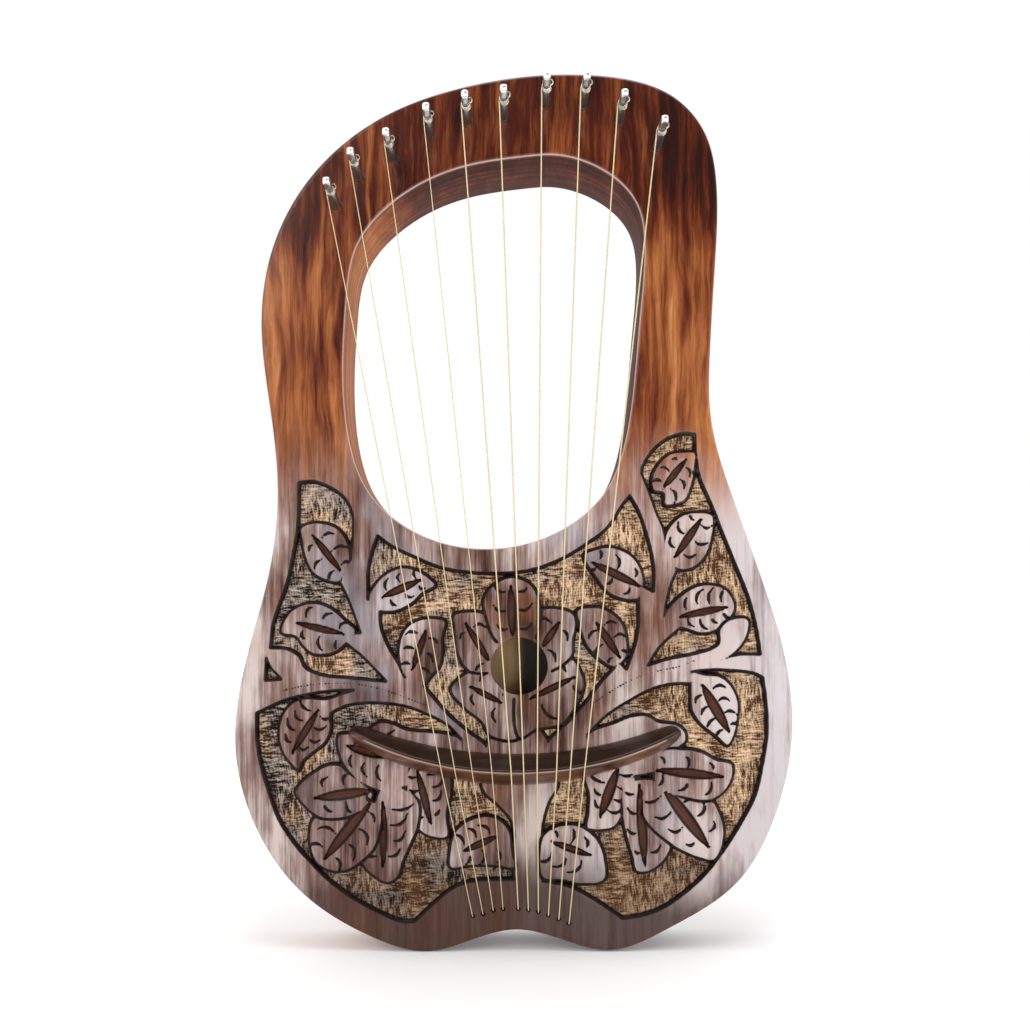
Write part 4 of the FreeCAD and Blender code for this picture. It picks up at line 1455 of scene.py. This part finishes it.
@dataclass(frozen=True)
class BackBoard(Rosewood):
    """Rosewood outside; inside it is raw and golden, with painted shade darkening its right side."""

    raw_low: Colour = (0.520, 0.280, 0.110)
    raw_gold: Colour = (0.800, 0.560, 0.270)
    raw_painted_shade: Colour = (0.045, 0.030, 0.026)

    def make(self) -> bpy.types.Material:
        """The finish as a material."""
        graph = Graph(self.name)
        x, y, _ = graph.axes()
        tone, pores = self.grain(graph)
        # Painted shade: the raw inside darkens towards the right.
        shade = graph.step(x + tone * 0.004, -0.001, 0.008)
        raw = graph.mix(shade, graph.mix(tone, self.raw_low, self.raw_gold), self.raw_painted_shade)
        inner = graph.step(y * -1, 0.0028, 0.0034)
        return graph.finish(
            Base_Color=graph.mix(inner, self.tint(graph, tone), raw),
            Roughness=(self.roughness + 0.12 * (1 - tone) + inner * 0.3).clamped(),
            Coat_Weight=(self.coat * (1 - inner)).clamped(),
            Coat_Roughness=self.coat_roughness,
            Normal=graph.bump(pores, self.pore_depth, 0.5),
        )


@dataclass(frozen=True)
class Metal:
    """A bright metal with fine turned or drawn marks."""

    name: str
    bright: Colour
    dull: Colour
    roughness: float = 0.18
    metallic: float = 1.0
    grain: Rates = (1800.0, 1800.0, 1800.0)
    grain_depth: float = 0.00004
    relief: float = 0.5

    def colour(self, graph: Graph) -> Value:
        """Bright metal with duller stains."""
        stain = graph.noise([rate / 7 for rate in self.grain], detail=2)
        return graph.mix(graph.step(stain, 0.35, 0.7), self.bright, self.dull)

    def make(self) -> bpy.types.Material:
        """The finish as a material."""
        graph = Graph(self.name)
        grain = graph.noise(self.grain, detail=3)
        return graph.finish(
            Base_Color=self.colour(graph),
            Metallic=self.metallic,
            Roughness=self.roughness + grain * 0.14,
            Normal=graph.bump(grain, self.grain_depth, self.relief),
        )


@dataclass(frozen=True)
class PinSteel(Metal):
    """Steel of the tuning pins: a dark satin shank, a painted highlight band at the wood, a polished
    head.
    """

    satin: Colour = (0.42, 0.41, 0.40)
    flat: Colour = (0.30, 0.29, 0.28)
    # From here to the wood the steel is bright: a painted highlight at the pin's foot.
    highlight_rim_from: float = -0.0332
    shank_to: float = -0.0445
    head_to: float = -0.0545
    blend: float = 0.0008

    def colour(self, graph: Graph) -> Value:
        """Dull along the shank, bright on the head, and bright at the wood as a painted highlight.
        """
        _, y, _ = graph.axes()
        streaks = graph.noise((500, 60, 500), detail=3)
        shank = graph.step(y, self.shank_to - self.blend, self.shank_to)
        shank = shank * graph.step(y, self.highlight_rim_from, self.highlight_rim_from - self.blend / 2)
        dull = graph.mix(streaks, self.dull, self.satin)
        flats = graph.step(y, self.head_to, self.head_to + self.blend) * (0.35 + streaks * 0.6)
        return graph.mix(shank, graph.mix(flats, self.bright, self.flat), dull)


@dataclass(frozen=True)
class PlainWood:
    """Unfinished inner wood with straight grain along one axis."""

    name: str
    light: Colour
    dark: Colour
    along: Rates
    grain_depth: float = 0.0002

    def make(self) -> bpy.types.Material:
        """The finish as a material."""
        graph = Graph(self.name)
        grain = graph.noise(self.along, detail=5, rough=0.6)
        return graph.finish(
            Base_Color=graph.mix(graph.step(grain, 0.35, 0.65), self.light, self.dark),
            Roughness=0.62 + grain * 0.15,
            Normal=graph.bump(grain, self.grain_depth, 0.6),
        )


BRIDGE_WOOD = BridgeRosewood(
    "bridge_rosewood", dark=(0.010, 0.004, 0.002), deep=(0.045, 0.014, 0.006),
    middle=(0.095, 0.030, 0.011), light=(0.180, 0.064, 0.024), gold=(0.480, 0.320, 0.230),
    along=(7.0, 90.0, 260.0), pores=(40.0, 700.0, 900.0), roughness=0.24, coat=0.3,
)
PIN_STEEL = PinSteel("nickel_pin", (0.96, 0.95, 0.94), (0.20, 0.195, 0.19), roughness=0.26)
WOUND_WIRE = Metal("wound_wire", (0.72, 0.70, 0.60), (0.38, 0.36, 0.30), roughness=0.22)
BALL_BRASS = Metal("ball_brass", (0.88, 0.62, 0.26), (0.62, 0.42, 0.18), roughness=0.25)
BRONZE_WIRE = Metal(
    "bronze_wire", (0.78, 0.66, 0.40), (0.68, 0.56, 0.32),
    roughness=0.45, metallic=0.6, grain=(40, 40, 12), relief=0.0,
)
PRICKED_WOOD = PlainWood(
    "pricked_wood", light=(0.012, 0.006, 0.004), dark=(0.03, 0.014, 0.01), along=(400, 400, 400)
)
SPRUCE = PlainWood(
    "bracing_spruce", light=(0.62, 0.44, 0.24), dark=(0.46, 0.30, 0.15), along=(14.0, 420.0, 420.0)
)
PATCH_WOOD = PlainWood(
    "patch_hardwood", light=(0.40, 0.24, 0.12), dark=(0.27, 0.15, 0.07), along=(12.0, 200.0, 300.0)
)


# ------------------------------------------------------------------------------------ the studio
@dataclass(frozen=True)
class AreaLight:
    """One soft light, so wide and so high, that faces a target."""

    name: str
    spot: tuple[float, float, float]
    target: tuple[float, float, float]
    sides: tuple[float, float]
    power: float

    def build(self) -> None:
        """Hangs the light in the scene."""
        data = bpy.data.lights.new(self.name, "AREA")
        data.shape = "RECTANGLE"
        data.size, data.size_y = self.sides
        data.energy = self.power
        lamp = link(self.name, data)
        lamp.location = self.spot
        aim = Vector(self.target) - Vector(self.spot)
        lamp.rotation_euler = aim.to_track_quat("-Z", "Y").to_euler()


@dataclass(frozen=True)
class Studio:
    """Pale floor, soft lights and the camera that looks straight at the front."""

    camera_back: float = 0.451
    camera_height: float = 0.1465
    lens: float = 31.7
    shift: float = 0.1165
    world_light: float = 1.0
    world_dim: float = 0.15
    dim_from: float = -0.9
    dim_to: float = -0.1
    floor_half: float = 8.0
    lights: tuple[AreaLight, ...] = (
        AreaLight("key", (-0.75, -1.05, 0.95), (0, 0, 0.22), (0.8, 0.8), 5.0),
        AreaLight("fill", (1.1, -0.9, 0.35), (0, 0, 0.15), (0.7, 0.7), 3.0),
        AreaLight("top", (0.1, -0.25, 1.25), (0, 0, 0.3), (0.6, 0.6), 4.0),
        AreaLight("right_strip", (0.47, -1.10, 0.17), (0.12, 0, 0.15), (0.10, 0.40), 1.6),
        AreaLight("left_strip", (-0.47, -1.10, 0.05), (-0.12, 0, 0.08), (0.10, 0.30), 0.8),
    )

    def build(self) -> None:
        """Makes the floor, the world, the lights and the camera."""
        self.floor()
        self.world()
        for light in self.lights:
            light.build()
        data = bpy.data.cameras.new("front_camera")
        data.lens = self.lens
        data.sensor_width = 36.0
        data.shift_y = self.shift
        data.clip_start = 0.01
        camera = link("front_camera", data)
        camera.location = (0, -self.camera_back, self.camera_height)
        camera.rotation_euler = (math.pi / 2, 0, 0)
        bpy.context.scene.camera = camera
        bpy.context.scene.view_settings.view_transform = "Standard"

    def floor(self) -> None:
        """A wide pale floor under the lobes, which glows to white away from them."""
        mesh = bpy.data.meshes.new("studio_floor")
        half = self.floor_half
        corners = [(-half, -half, 0), (half, -half, 0), (half, half, 0), (-half, half, 0)]
        mesh.from_pydata(corners, [], [(0, 1, 2, 3)])
        graph = Graph("pale_floor")
        speckle = graph.noise((40, 40, 40), detail=2)
        paper = graph.mix(speckle, (0.93, 0.93, 0.93), (0.97, 0.97, 0.97))
        x, y, _ = graph.axes()
        behind = graph.step(x.size() + y, 0.10, 0.65)
        far = (behind + graph.step(x.size() - y, 0.60, 1.40)).clamped()
        glow = graph.mix(far, (0.10, 0.10, 0.10), (0.5, 0.5, 0.5))
        finish = graph.finish(
            Base_Color=paper, Roughness=0.9, Emission_Color=glow, Emission_Strength=1.0
        )
        mesh.materials.append(finish)
        link("studio_floor", mesh)

    def world(self) -> None:
        """White for the camera; other rays see it dimmer on the side that the front faces."""
        world = bpy.data.worlds.new("soft_studio")
        bpy.context.scene.world = world
        world.use_nodes = True
        tree = world.node_tree
        tree.nodes.clear()
        place = add_node(tree, "ShaderNodeTexCoord")
        split = add_node(tree, "ShaderNodeSeparateXYZ", inputs={0: place.outputs["Generated"]})
        ramp = add_node(tree, "ShaderNodeMapRange", {"interpolation_type": "SMOOTHSTEP"}, {
            "Value": split.outputs[1], "From Min": self.dim_from, "From Max": self.dim_to,
            "To Min": self.world_dim, "To Max": self.world_light,
        })
        ray = add_node(tree, "ShaderNodeLightPath")
        seen = add_node(tree, "ShaderNodeMath", {"operation": "MAXIMUM"}, {
            0: ray.outputs["Is Camera Ray"], 1: ramp.outputs[0],
        })
        light = add_node(tree, "ShaderNodeBackground", inputs={
            "Color": (1.0, 1.0, 1.0), "Strength": seen.outputs[0],
        })
        add_node(tree, "ShaderNodeOutputWorld", inputs={0: light.outputs[0]})


# -------------------------------------------------------------------------------- the other pieces
@dataclass
class Bridge:
    """Crescent bridge with a rounded crest, tapering to its tips."""

    stations: int = 97
    bare_stations: int = 14
    flat: float = 40.0
    tip_rise: float = 7.5
    tip_half_width: float = 3.25
    blunt_tip: float = 4.4
    swell: float = 0.6
    crest_half_width: float = 1.5
    sag: float = 18.0

    def build(self, finish: bpy.types.Material) -> bpy.types.Object:
        """Makes the bridge and hangs it in place of its CAD node."""
        low, high = (np.array(corner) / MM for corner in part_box("bridge"))
        half_span = (high[0] - low[0]) / 2
        rise = high[1] - low[1]
        foot_half = high[2] - low[2] - self.sag - self.tip_half_width
        middle = low[2] + foot_half
        radius = (half_span**2 + self.sag**2) / (2 * self.sag)
        shell = Shell()
        rings = []
        for share in np.linspace(-1, 1, self.stations):
            along = math.sin(share * math.pi / 2)
            x = along * (half_span - 0.05)
            taper = math.sqrt(max(0.0, 1 - abs(along) ** 34))
            wide = foot_half + self.swell
            width = (wide + (self.blunt_tip - wide) * abs(along) ** 1.8) * max(taper, 0.02)
            beyond = max(0.0, abs(x) - self.flat) / (half_span - self.flat)
            height = (rise - (rise - self.tip_rise) * beyond**1.7) * max(taper**0.5, 0.05)
            centre = middle + radius - math.sqrt(radius**2 - x**2)
            lean = math.asin(x / radius)
            rings.append(shell.add(self.section(x, centre, lean, width, height, high[1])))
        for first, second in zip(rings, rings[1:]):
            shell.band(first, second)
        for end in (rings[0], rings[-1]):
            hub = shell.add(shell.points[end].mean(0, keepdims=True))[0]
            turned = np.roll(end, -1)
            shell.triangles.append(np.stack([np.full(len(end), hub), np.array(end), turned], 1))
        mesh = shell.mesh("bridge_crescent")
        # The crest ring marks the painted highlight, the upper flank the painted shade.
        crest, upper = np.zeros((2, len(shell.points)), np.float32)
        for ring in rings[self.bare_stations:-self.bare_stations]:
            crest[ring[len(ring) // 2]] = 1.0
        for ring in rings:
            upper[ring[len(ring) // 2 + 1:]] = 1.0
        mark(mesh, "crest", crest)
        mark(mesh, "upper", upper)
        return hang_piece("bridge_crescent", mesh, ROOT, finish, ["bridge"])

    def section(
        self, x: float, centre: float, lean: float, half_width: float, height: float, foot: float
    ) -> np.ndarray:
        """Ring of points across the bridge at one station.

        Args:
            x: place along the span.
            centre: height of the crest line there.
            lean: how far the section turns to stay square to the crest, in radians.
            half_width: half the foot's width.
            height: how far the crest stands off the front.
            foot: depth of the front face.

        Returns:
            (n, 3) points.
        """
        crest = min(self.crest_half_width, half_width * 0.6)
        profile = [(-half_width, 0.0), (-half_width, 0.10 * height)]
        profile += [(-half_width * 0.93, 0.22 * height), (-half_width * 0.66, 0.56 * height)]
        profile.append((-crest * 1.12, 0.84 * height))
        for turn in np.radians(np.arange(-60, 61, 20)):
            profile.append((crest * math.sin(turn), height - crest * 0.62 * (1 - math.cos(turn))))
        profile += [(-across, up) for across, up in reversed(profile[:5])]
        right, rise = -math.sin(lean), math.cos(lean)
        return np.array([
            (x + across * right, foot - up, centre + across * rise) for across, up in profile
        ])


class NodeTree:
    """A Geometry Nodes tree with named inputs, made in code."""

    KINDS = {float: "NodeSocketFloat", int: "NodeSocketInt", tuple: "NodeSocketVector"}

    def __init__(self, name: str, **inputs: float | int | tuple) -> None:
        """Makes the tree and its interface, whose last input is the finish.

        Args:
            name: name of the tree.
            inputs: the other inputs, each with its default.
        """
        self.tree = bpy.data.node_groups.new(name, "GeometryNodeTree")
        new_socket = self.tree.interface.new_socket
        new_socket("Geometry", in_out="OUTPUT", socket_type="NodeSocketGeometry")
        new_socket("Geometry", in_out="INPUT", socket_type="NodeSocketGeometry")
        for label, default in inputs.items():
            socket = new_socket(label, in_out="INPUT", socket_type=self.KINDS[type(default)])
            socket.default_value = default
        new_socket("Finish", in_out="INPUT", socket_type="NodeSocketMaterial")
        self.group = self.tree.nodes.new("NodeGroupInput")
        self.output = self.tree.nodes.new("NodeGroupOutput")

    def node(
        self, kind: str, settings: dict | None = None, inputs: dict | None = None
    ) -> bpy.types.Node:
        """A new node of this tree."""
        return add_node(self.tree, kind, settings, inputs)

    def end(self, geometry: bpy.types.NodeSocket) -> None:
        """Realizes the instances and sets the material, then leaves the tree."""
        real = self.node("GeometryNodeRealizeInstances", inputs={0: geometry})
        dressed = self.node(
            "GeometryNodeSetMaterial",
            inputs={"Geometry": real.outputs[0], "Material": self.group.outputs["Finish"]},
        )
        self.tree.links.new(dressed.outputs[0], self.output.inputs[0])

    def run(self, mesh: bpy.types.Mesh, name: str, **values: object) -> bpy.types.Mesh:
        """Evaluates the tree on a mesh.

        Args:
            mesh: the geometry that goes in.
            name: name of the mesh that comes out.
            values: the tree's inputs.

        Returns:
            A plain mesh.
        """
        carrier = link(f"{name}_carrier", mesh)
        modifier = carrier.modifiers.new("nodes", "NODES")
        modifier.node_group = self.tree
        sockets = [item for item in self.tree.interface.items_tree if item.in_out == "INPUT"]
        known = {socket.name: socket.identifier for socket in sockets}
        for label, value in values.items():
            modifier[known[label]] = value
        return evaluated(name, carrier)


def line_mesh(name: str, points: Sequence[Sequence[float]], joined: bool = True) -> bpy.types.Mesh:
    """A mesh of points, joined in a row or left loose."""
    mesh = bpy.data.meshes.new(name)
    edges = [(i, i + 1) for i in range(len(points) - 1)] if joined else []
    mesh.from_pydata([tuple(point) for point in points], edges, [])
    return mesh


@dataclass(frozen=True)
class Pin:
    """A turned tuning pin: plain shank, waist with the wire's hole, squared and domed head.

    Each ring is a radius, how far it lies behind the tip and how square it is, from 0 to 1.
    """

    sides: int = 32
    neck_radius: float = 1.6
    hole_radius: float = 0.5
    hole_sides: int = 12
    hole_behind_tip: float = 7.1
    drill_reach: float = 3.0
    rings: tuple[tuple[float, float, float], ...] = (
        (1.70, 45.0, 0.0), (2.00, 44.6, 0.0), (2.00, 10.7, 0.0), (1.85, 10.4, 0.0),
        (1.60, 10.25, 0.0), (1.60, 6.4, 0.0), (1.80, 6.1, 0.3), (1.62, 5.8, 1.0), (1.62, 1.6, 1.0),
        (1.52, 1.0, 0.9), (1.30, 0.5, 0.6), (0.95, 0.18, 0.3), (0.50, 0.03, 0.0),
    )

    def prototype(self, tip: float) -> bpy.types.Mesh:
        """A pin on the y axis.

        Args:
            tip: depth of its outer end, in millimetres.

        Returns:
            A mesh with the wire's hole cut through.
        """
        shell = Shell()
        turns = np.arange(self.sides) * 2 * math.pi / self.sides
        square = (np.abs(np.cos(turns)) ** 5 + np.abs(np.sin(turns)) ** 5) ** -0.2
        loops = []
        for radius, behind, squareness in self.rings:
            reach = radius * (1 + squareness * (square - 1))
            ring = np.stack([reach * np.cos(turns), reach * np.sin(turns)], 1)
            loops.append(shell.ring_at(ring, tip + behind))
        for first, second in zip(loops, loops[1:]):
            shell.band(first, second)
        shell.plate(loops[0])
        shell.plate(loops[-1])
        blank = link("pin_blank", shell.mesh("pin_blank"))
        cutter = link("pin_drill", self.drill(tip + self.hole_behind_tip))
        cut = blank.modifiers.new("hole", "BOOLEAN")
        cut.operation = "DIFFERENCE"
        cut.solver = "EXACT"
        cut.object = cutter
        mesh = evaluated("pin_bored", blank)
        bpy.data.objects.remove(cutter)
        face_outwards(mesh, merge=MERGE)
        return mesh

    def drill(self, middle: float) -> bpy.types.Mesh:
        """A rod along x that cuts the wire's hole at a depth."""
        drill = Shell()
        around = np.arange(self.hole_sides) * 2 * math.pi / self.hole_sides
        hole = np.stack([np.cos(around), np.sin(around)], 1) * self.hole_radius
        ends = []
        for x in (-self.drill_reach, self.drill_reach):
            along = np.full(self.hole_sides, x)
            ends.append(drill.add(np.stack([along, middle + hole[:, 0], hole[:, 1]], 1)))
        drill.band(*ends)
        for end in ends:
            fan = [[end[0], here, after] for here, after in zip(end[1:], end[2:])]
            drill.triangles.append(np.array(fan))
        return drill.mesh("pin_drill")

    def build(self, finish: bpy.types.Material) -> None:
        """Makes the pins and hangs each in place of its CAD node."""
        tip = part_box("tuning_pin_01")[0].y / MM
        prototype = self.prototype(tip)
        for number in STRINGS:
            node = f"tuning_pin_{number:02d}"
            low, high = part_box(node)
            mesh = prototype.copy()
            mesh.transform(Matrix.Translation(((low.x + high.x) / 2, 0, (low.z + high.z) / 2)))
            hang_piece(f"{node}_turned", mesh, f"pin_{number:02d}", finish, [node])


@dataclass(frozen=True)
class Windings:
    """The turns of wire on each pin, with the cut end that curls out beside the waist."""

    neck_radius: float
    segments_a_turn: int = 20
    wire_sides: int = 8
    thinned: float = 0.98
    lift: float = 0.0006
    loop: float = 0.0011

    def tree(self) -> NodeTree:
        """Sweeps a wire round a helix, lays it on its pin and adds the free end."""
        nodes = NodeTree(
            "wire_winding", Turns=3.0, Radius=0.002, Length=0.0018, Wire=0.0003, Place=(0, 0, 0)
        )
        given = nodes.group.outputs
        helix = nodes.node("GeometryNodeCurveSpiral", inputs={
            "Resolution": self.segments_a_turn, "Rotations": given["Turns"],
            "Start Radius": given["Radius"], "End Radius": given["Radius"],
            "Height": given["Length"],
        })
        tail_line = nodes.node("GeometryNodeMeshToCurve", inputs={0: given["Geometry"]})
        both = nodes.node("GeometryNodeJoinGeometry")
        turned = nodes.node("GeometryNodeTransform", inputs={
            "Geometry": helix.outputs[0], "Rotation": (math.pi / 2, 0, 0),
            "Translation": given["Place"],
        })
        nodes.tree.links.new(turned.outputs[0], both.inputs[0])
        nodes.tree.links.new(tail_line.outputs[0], both.inputs[0])
        round_wire = nodes.node("GeometryNodeCurvePrimitiveCircle", {"mode": "RADIUS"}, {
            "Resolution": self.wire_sides, "Radius": given["Wire"],
        })
        swept = nodes.node("GeometryNodeCurveToMesh", inputs={
            "Curve": both.outputs[0], "Profile Curve": round_wire.outputs[0], "Fill Caps": True,
        })
        nodes.end(swept.outputs[0])
        return nodes

    def build(self, finish: bpy.types.Material) -> None:
        """Makes one winding for each pin and hangs it in place of its CAD node."""
        nodes = self.tree()
        neck = self.neck_radius * MM
        for number in STRINGS:
            node = f"string_winding_{number:02d}"
            low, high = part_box(node)
            outer = (high.x - low.x) / 2
            wire = (outer - neck) / 2
            centre = (low + high) / 2
            length = high.y - low.y
            place = (centre.x, high.y - wire, centre.z)
            turns = length / (2 * wire) - 1
            tail = self.free_end(centre, neck, wire, low.y)
            mesh = nodes.run(
                line_mesh(f"{node}_end", tail), f"{node}_wire",
                Turns=turns, Radius=neck + wire * self.thinned, Length=length - 2 * wire,
                Wire=wire * self.thinned, Place=place, Finish=finish,
            )
            face_outwards(mesh, merge=MERGE, sharp_degrees=60)
            hang_piece(f"{node}_wire", mesh, f"pin_{number:02d}", finish, [node])

    def free_end(self, centre: Vector, neck: float, wire: float, front: float) -> list[tuple]:
        """The wire's last half turn, up to its hole and out in a small loop.

        Args:
            centre: middle of the winding.
            neck: radius of the pin's waist.
            wire: radius of the wire.
            front: depth of the winding's outer face.

        Returns:
            Points of its centre line.
        """
        radius = neck + wire
        depth = front + wire
        points = []
        for share in np.linspace(0, 1, 9):
            turn = math.pi * (1.0 - share)
            x = centre.x + radius * math.cos(turn)
            points.append((x, depth - share * self.lift, centre.z - radius * math.sin(turn)))
        for share in np.linspace(0.12, 1, 9):
            turn = math.pi * 1.5 * share
            x = centre.x + radius + self.loop * math.sin(turn) * 0.9
            y = depth - self.lift - share * 0.0004
            points.append((x, y, centre.z + self.loop * (1 - math.cos(turn))))
        return points


@dataclass
class Barrels:
    """Brass barrels that hold the strings' ends in the slot behind the tail."""

    hole_share: float = 0.34
    fitted: float = 0.98
    merge_passes: int = 64

    def build(self, finish: bpy.types.Material) -> bpy.types.Object:
        """Puts a hollow barrel on every string's end."""
        points, triangles = node_triangles("string_ball_ends")
        groups = np.arange(len(points))
        for _ in range(self.merge_passes):
            least = groups[triangles].min(1)
            np.minimum.at(groups, triangles.ravel(), np.repeat(least, 3))
        centres = []
        for group in np.unique(groups[triangles]):
            cluster = points[groups == group]
            centres.append((cluster.min(0) + cluster.max(0)) / 2 * MM)
            radius = float(np.ptp(cluster[:, 0])) / 2 * MM
            length = float(np.ptp(cluster[:, 1])) * MM
        nodes = NodeTree("string_barrels", Radius=0.0019, Wall=0.0012, Length=0.003)
        given = nodes.group.outputs
        ring = nodes.node("GeometryNodeCurvePrimitiveCircle", {"mode": "RADIUS"}, {
            "Resolution": 24, "Radius": given["Radius"],
        })
        wall = nodes.node("GeometryNodeCurvePrimitiveQuadrilateral", inputs={
            "Width": given["Wall"], "Height": given["Length"],
        })
        rounded = nodes.node("GeometryNodeFilletCurve", {"mode": "POLY"}, {
            "Curve": wall.outputs[0], "Radius": 0.0003, "Count": 2,
        })
        barrel = nodes.node("GeometryNodeCurveToMesh", inputs={
            "Curve": ring.outputs[0], "Profile Curve": rounded.outputs[0],
        })
        laid = nodes.node("GeometryNodeTransform", inputs={
            "Geometry": barrel.outputs[0], "Rotation": (math.pi / 2, 0, 0),
        })
        spread = nodes.node("GeometryNodeInstanceOnPoints", inputs={
            "Points": given["Geometry"], "Instance": laid.outputs[0],
        })
        nodes.end(spread.outputs[0])
        wall_width = radius * (1 - self.hole_share)
        mesh = nodes.run(
            line_mesh("barrel_places", centres, joined=False), "string_barrels",
            Radius=radius - wall_width / 2, Wall=wall_width * self.fitted, Length=length,
            Finish=finish,
        )
        face_outwards(mesh, merge=MERGE)
        return hang_piece("string_barrels", mesh, ROOT, finish, ["string_ball_ends"])


@dataclass
class DottedLines:
    """Guide lines pricked along the main stems with a hot point."""

    spacing: float = 0.0014
    radius: float = 0.00036
    proud: float = 0.00003
    least: float = 0.25
    most: float = 1.7
    seed: int = 5

    def build(self, finish: bpy.types.Material) -> bpy.types.Object:
        """Pricks both lines on the front face."""
        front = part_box("harp_frame")[0].y
        nodes = NodeTree("pricked_lines", Spacing=0.0017, Radius=0.0003, Seed=1)
        given = nodes.group.outputs
        line = nodes.node("GeometryNodeMeshToCurve", inputs={0: given["Geometry"]})
        dots = nodes.node("GeometryNodeCurveToPoints", {"mode": "LENGTH"}, {
            "Curve": line.outputs[0], "Length": given["Spacing"],
        })
        dot = nodes.node("GeometryNodeMeshUVSphere", inputs={
            "Segments": 8, "Rings": 5, "Radius": given["Radius"],
        })
        chance = nodes.node("FunctionNodeRandomValue", {"data_type": "FLOAT"}, {
            2: self.least, 3: self.most, "Seed": given["Seed"],
        })
        stretch = nodes.node("ShaderNodeCombineXYZ", inputs={1: 0.22})
        longer = nodes.node("ShaderNodeMath", {"operation": "MULTIPLY"}, {
            0: chance.outputs[1], 1: 1.4,
        })
        nodes.tree.links.new(longer.outputs[0], stretch.inputs[0])
        nodes.tree.links.new(chance.outputs[1], stretch.inputs[2])
        spread = nodes.node("GeometryNodeInstanceOnPoints", inputs={
            "Points": dots.outputs[0], "Instance": dot.outputs[0], "Scale": stretch.outputs[0],
        })
        nodes.end(spread.outputs[0])
        points: list[tuple] = []
        edges: list[tuple] = []
        for places in DOTTED_LINES:
            smooth = smooth_run(places, 2.0) * MM
            edges += [(len(points) + i, len(points) + i + 1) for i in range(len(smooth) - 1)]
            points += [(x, front + self.proud, z) for x, z in smooth]
        lines = bpy.data.meshes.new("guide_lines")
        lines.from_pydata(points, edges, [])
        mesh = nodes.run(
            lines, "pricked_lines", Spacing=self.spacing, Radius=self.radius, Seed=self.seed,
            Finish=finish,
        )
        face_outwards(mesh, merge=1e-8)
        return hang_piece("pricked_lines", mesh, ROOT, finish)


def dress(nodes: Iterable[str], finish: bpy.types.Material) -> None:
    """Gives CAD nodes that stay in view their finish."""
    for node in nodes:
        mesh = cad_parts[node].data
        mesh.materials.clear()
        mesh.materials.append(finish)
        LOG.info("%s: CAD node, finish %s", node, finish.name)


def main() -> None:
    """Builds every piece in order and reports it."""
    logging.basicConfig(level=logging.INFO, format="%(message)s")
    Studio().build()
    CarvedFrame().build(CarvedRosewood("carved_rosewood").make())
    Bridge().build(BRIDGE_WOOD.make())
    pin = Pin()
    pin.build(PIN_STEEL.make())
    Windings(pin.neck_radius).build(WOUND_WIRE.make())
    Barrels().build(BALL_BRASS.make())
    DottedLines().build(PRICKED_WOOD.make())
    dress([f"string_{number:02d}" for number in STRINGS], BRONZE_WIRE.make())
    dress(["back_board"], BackBoard("back_rosewood").make())
    dress(["soundboard_bar_upper", "soundboard_bar_lower"], SPRUCE.make())
    dress(["bridge_patch"], PATCH_WOOD.make())


if __name__ == "__main__":
    main()
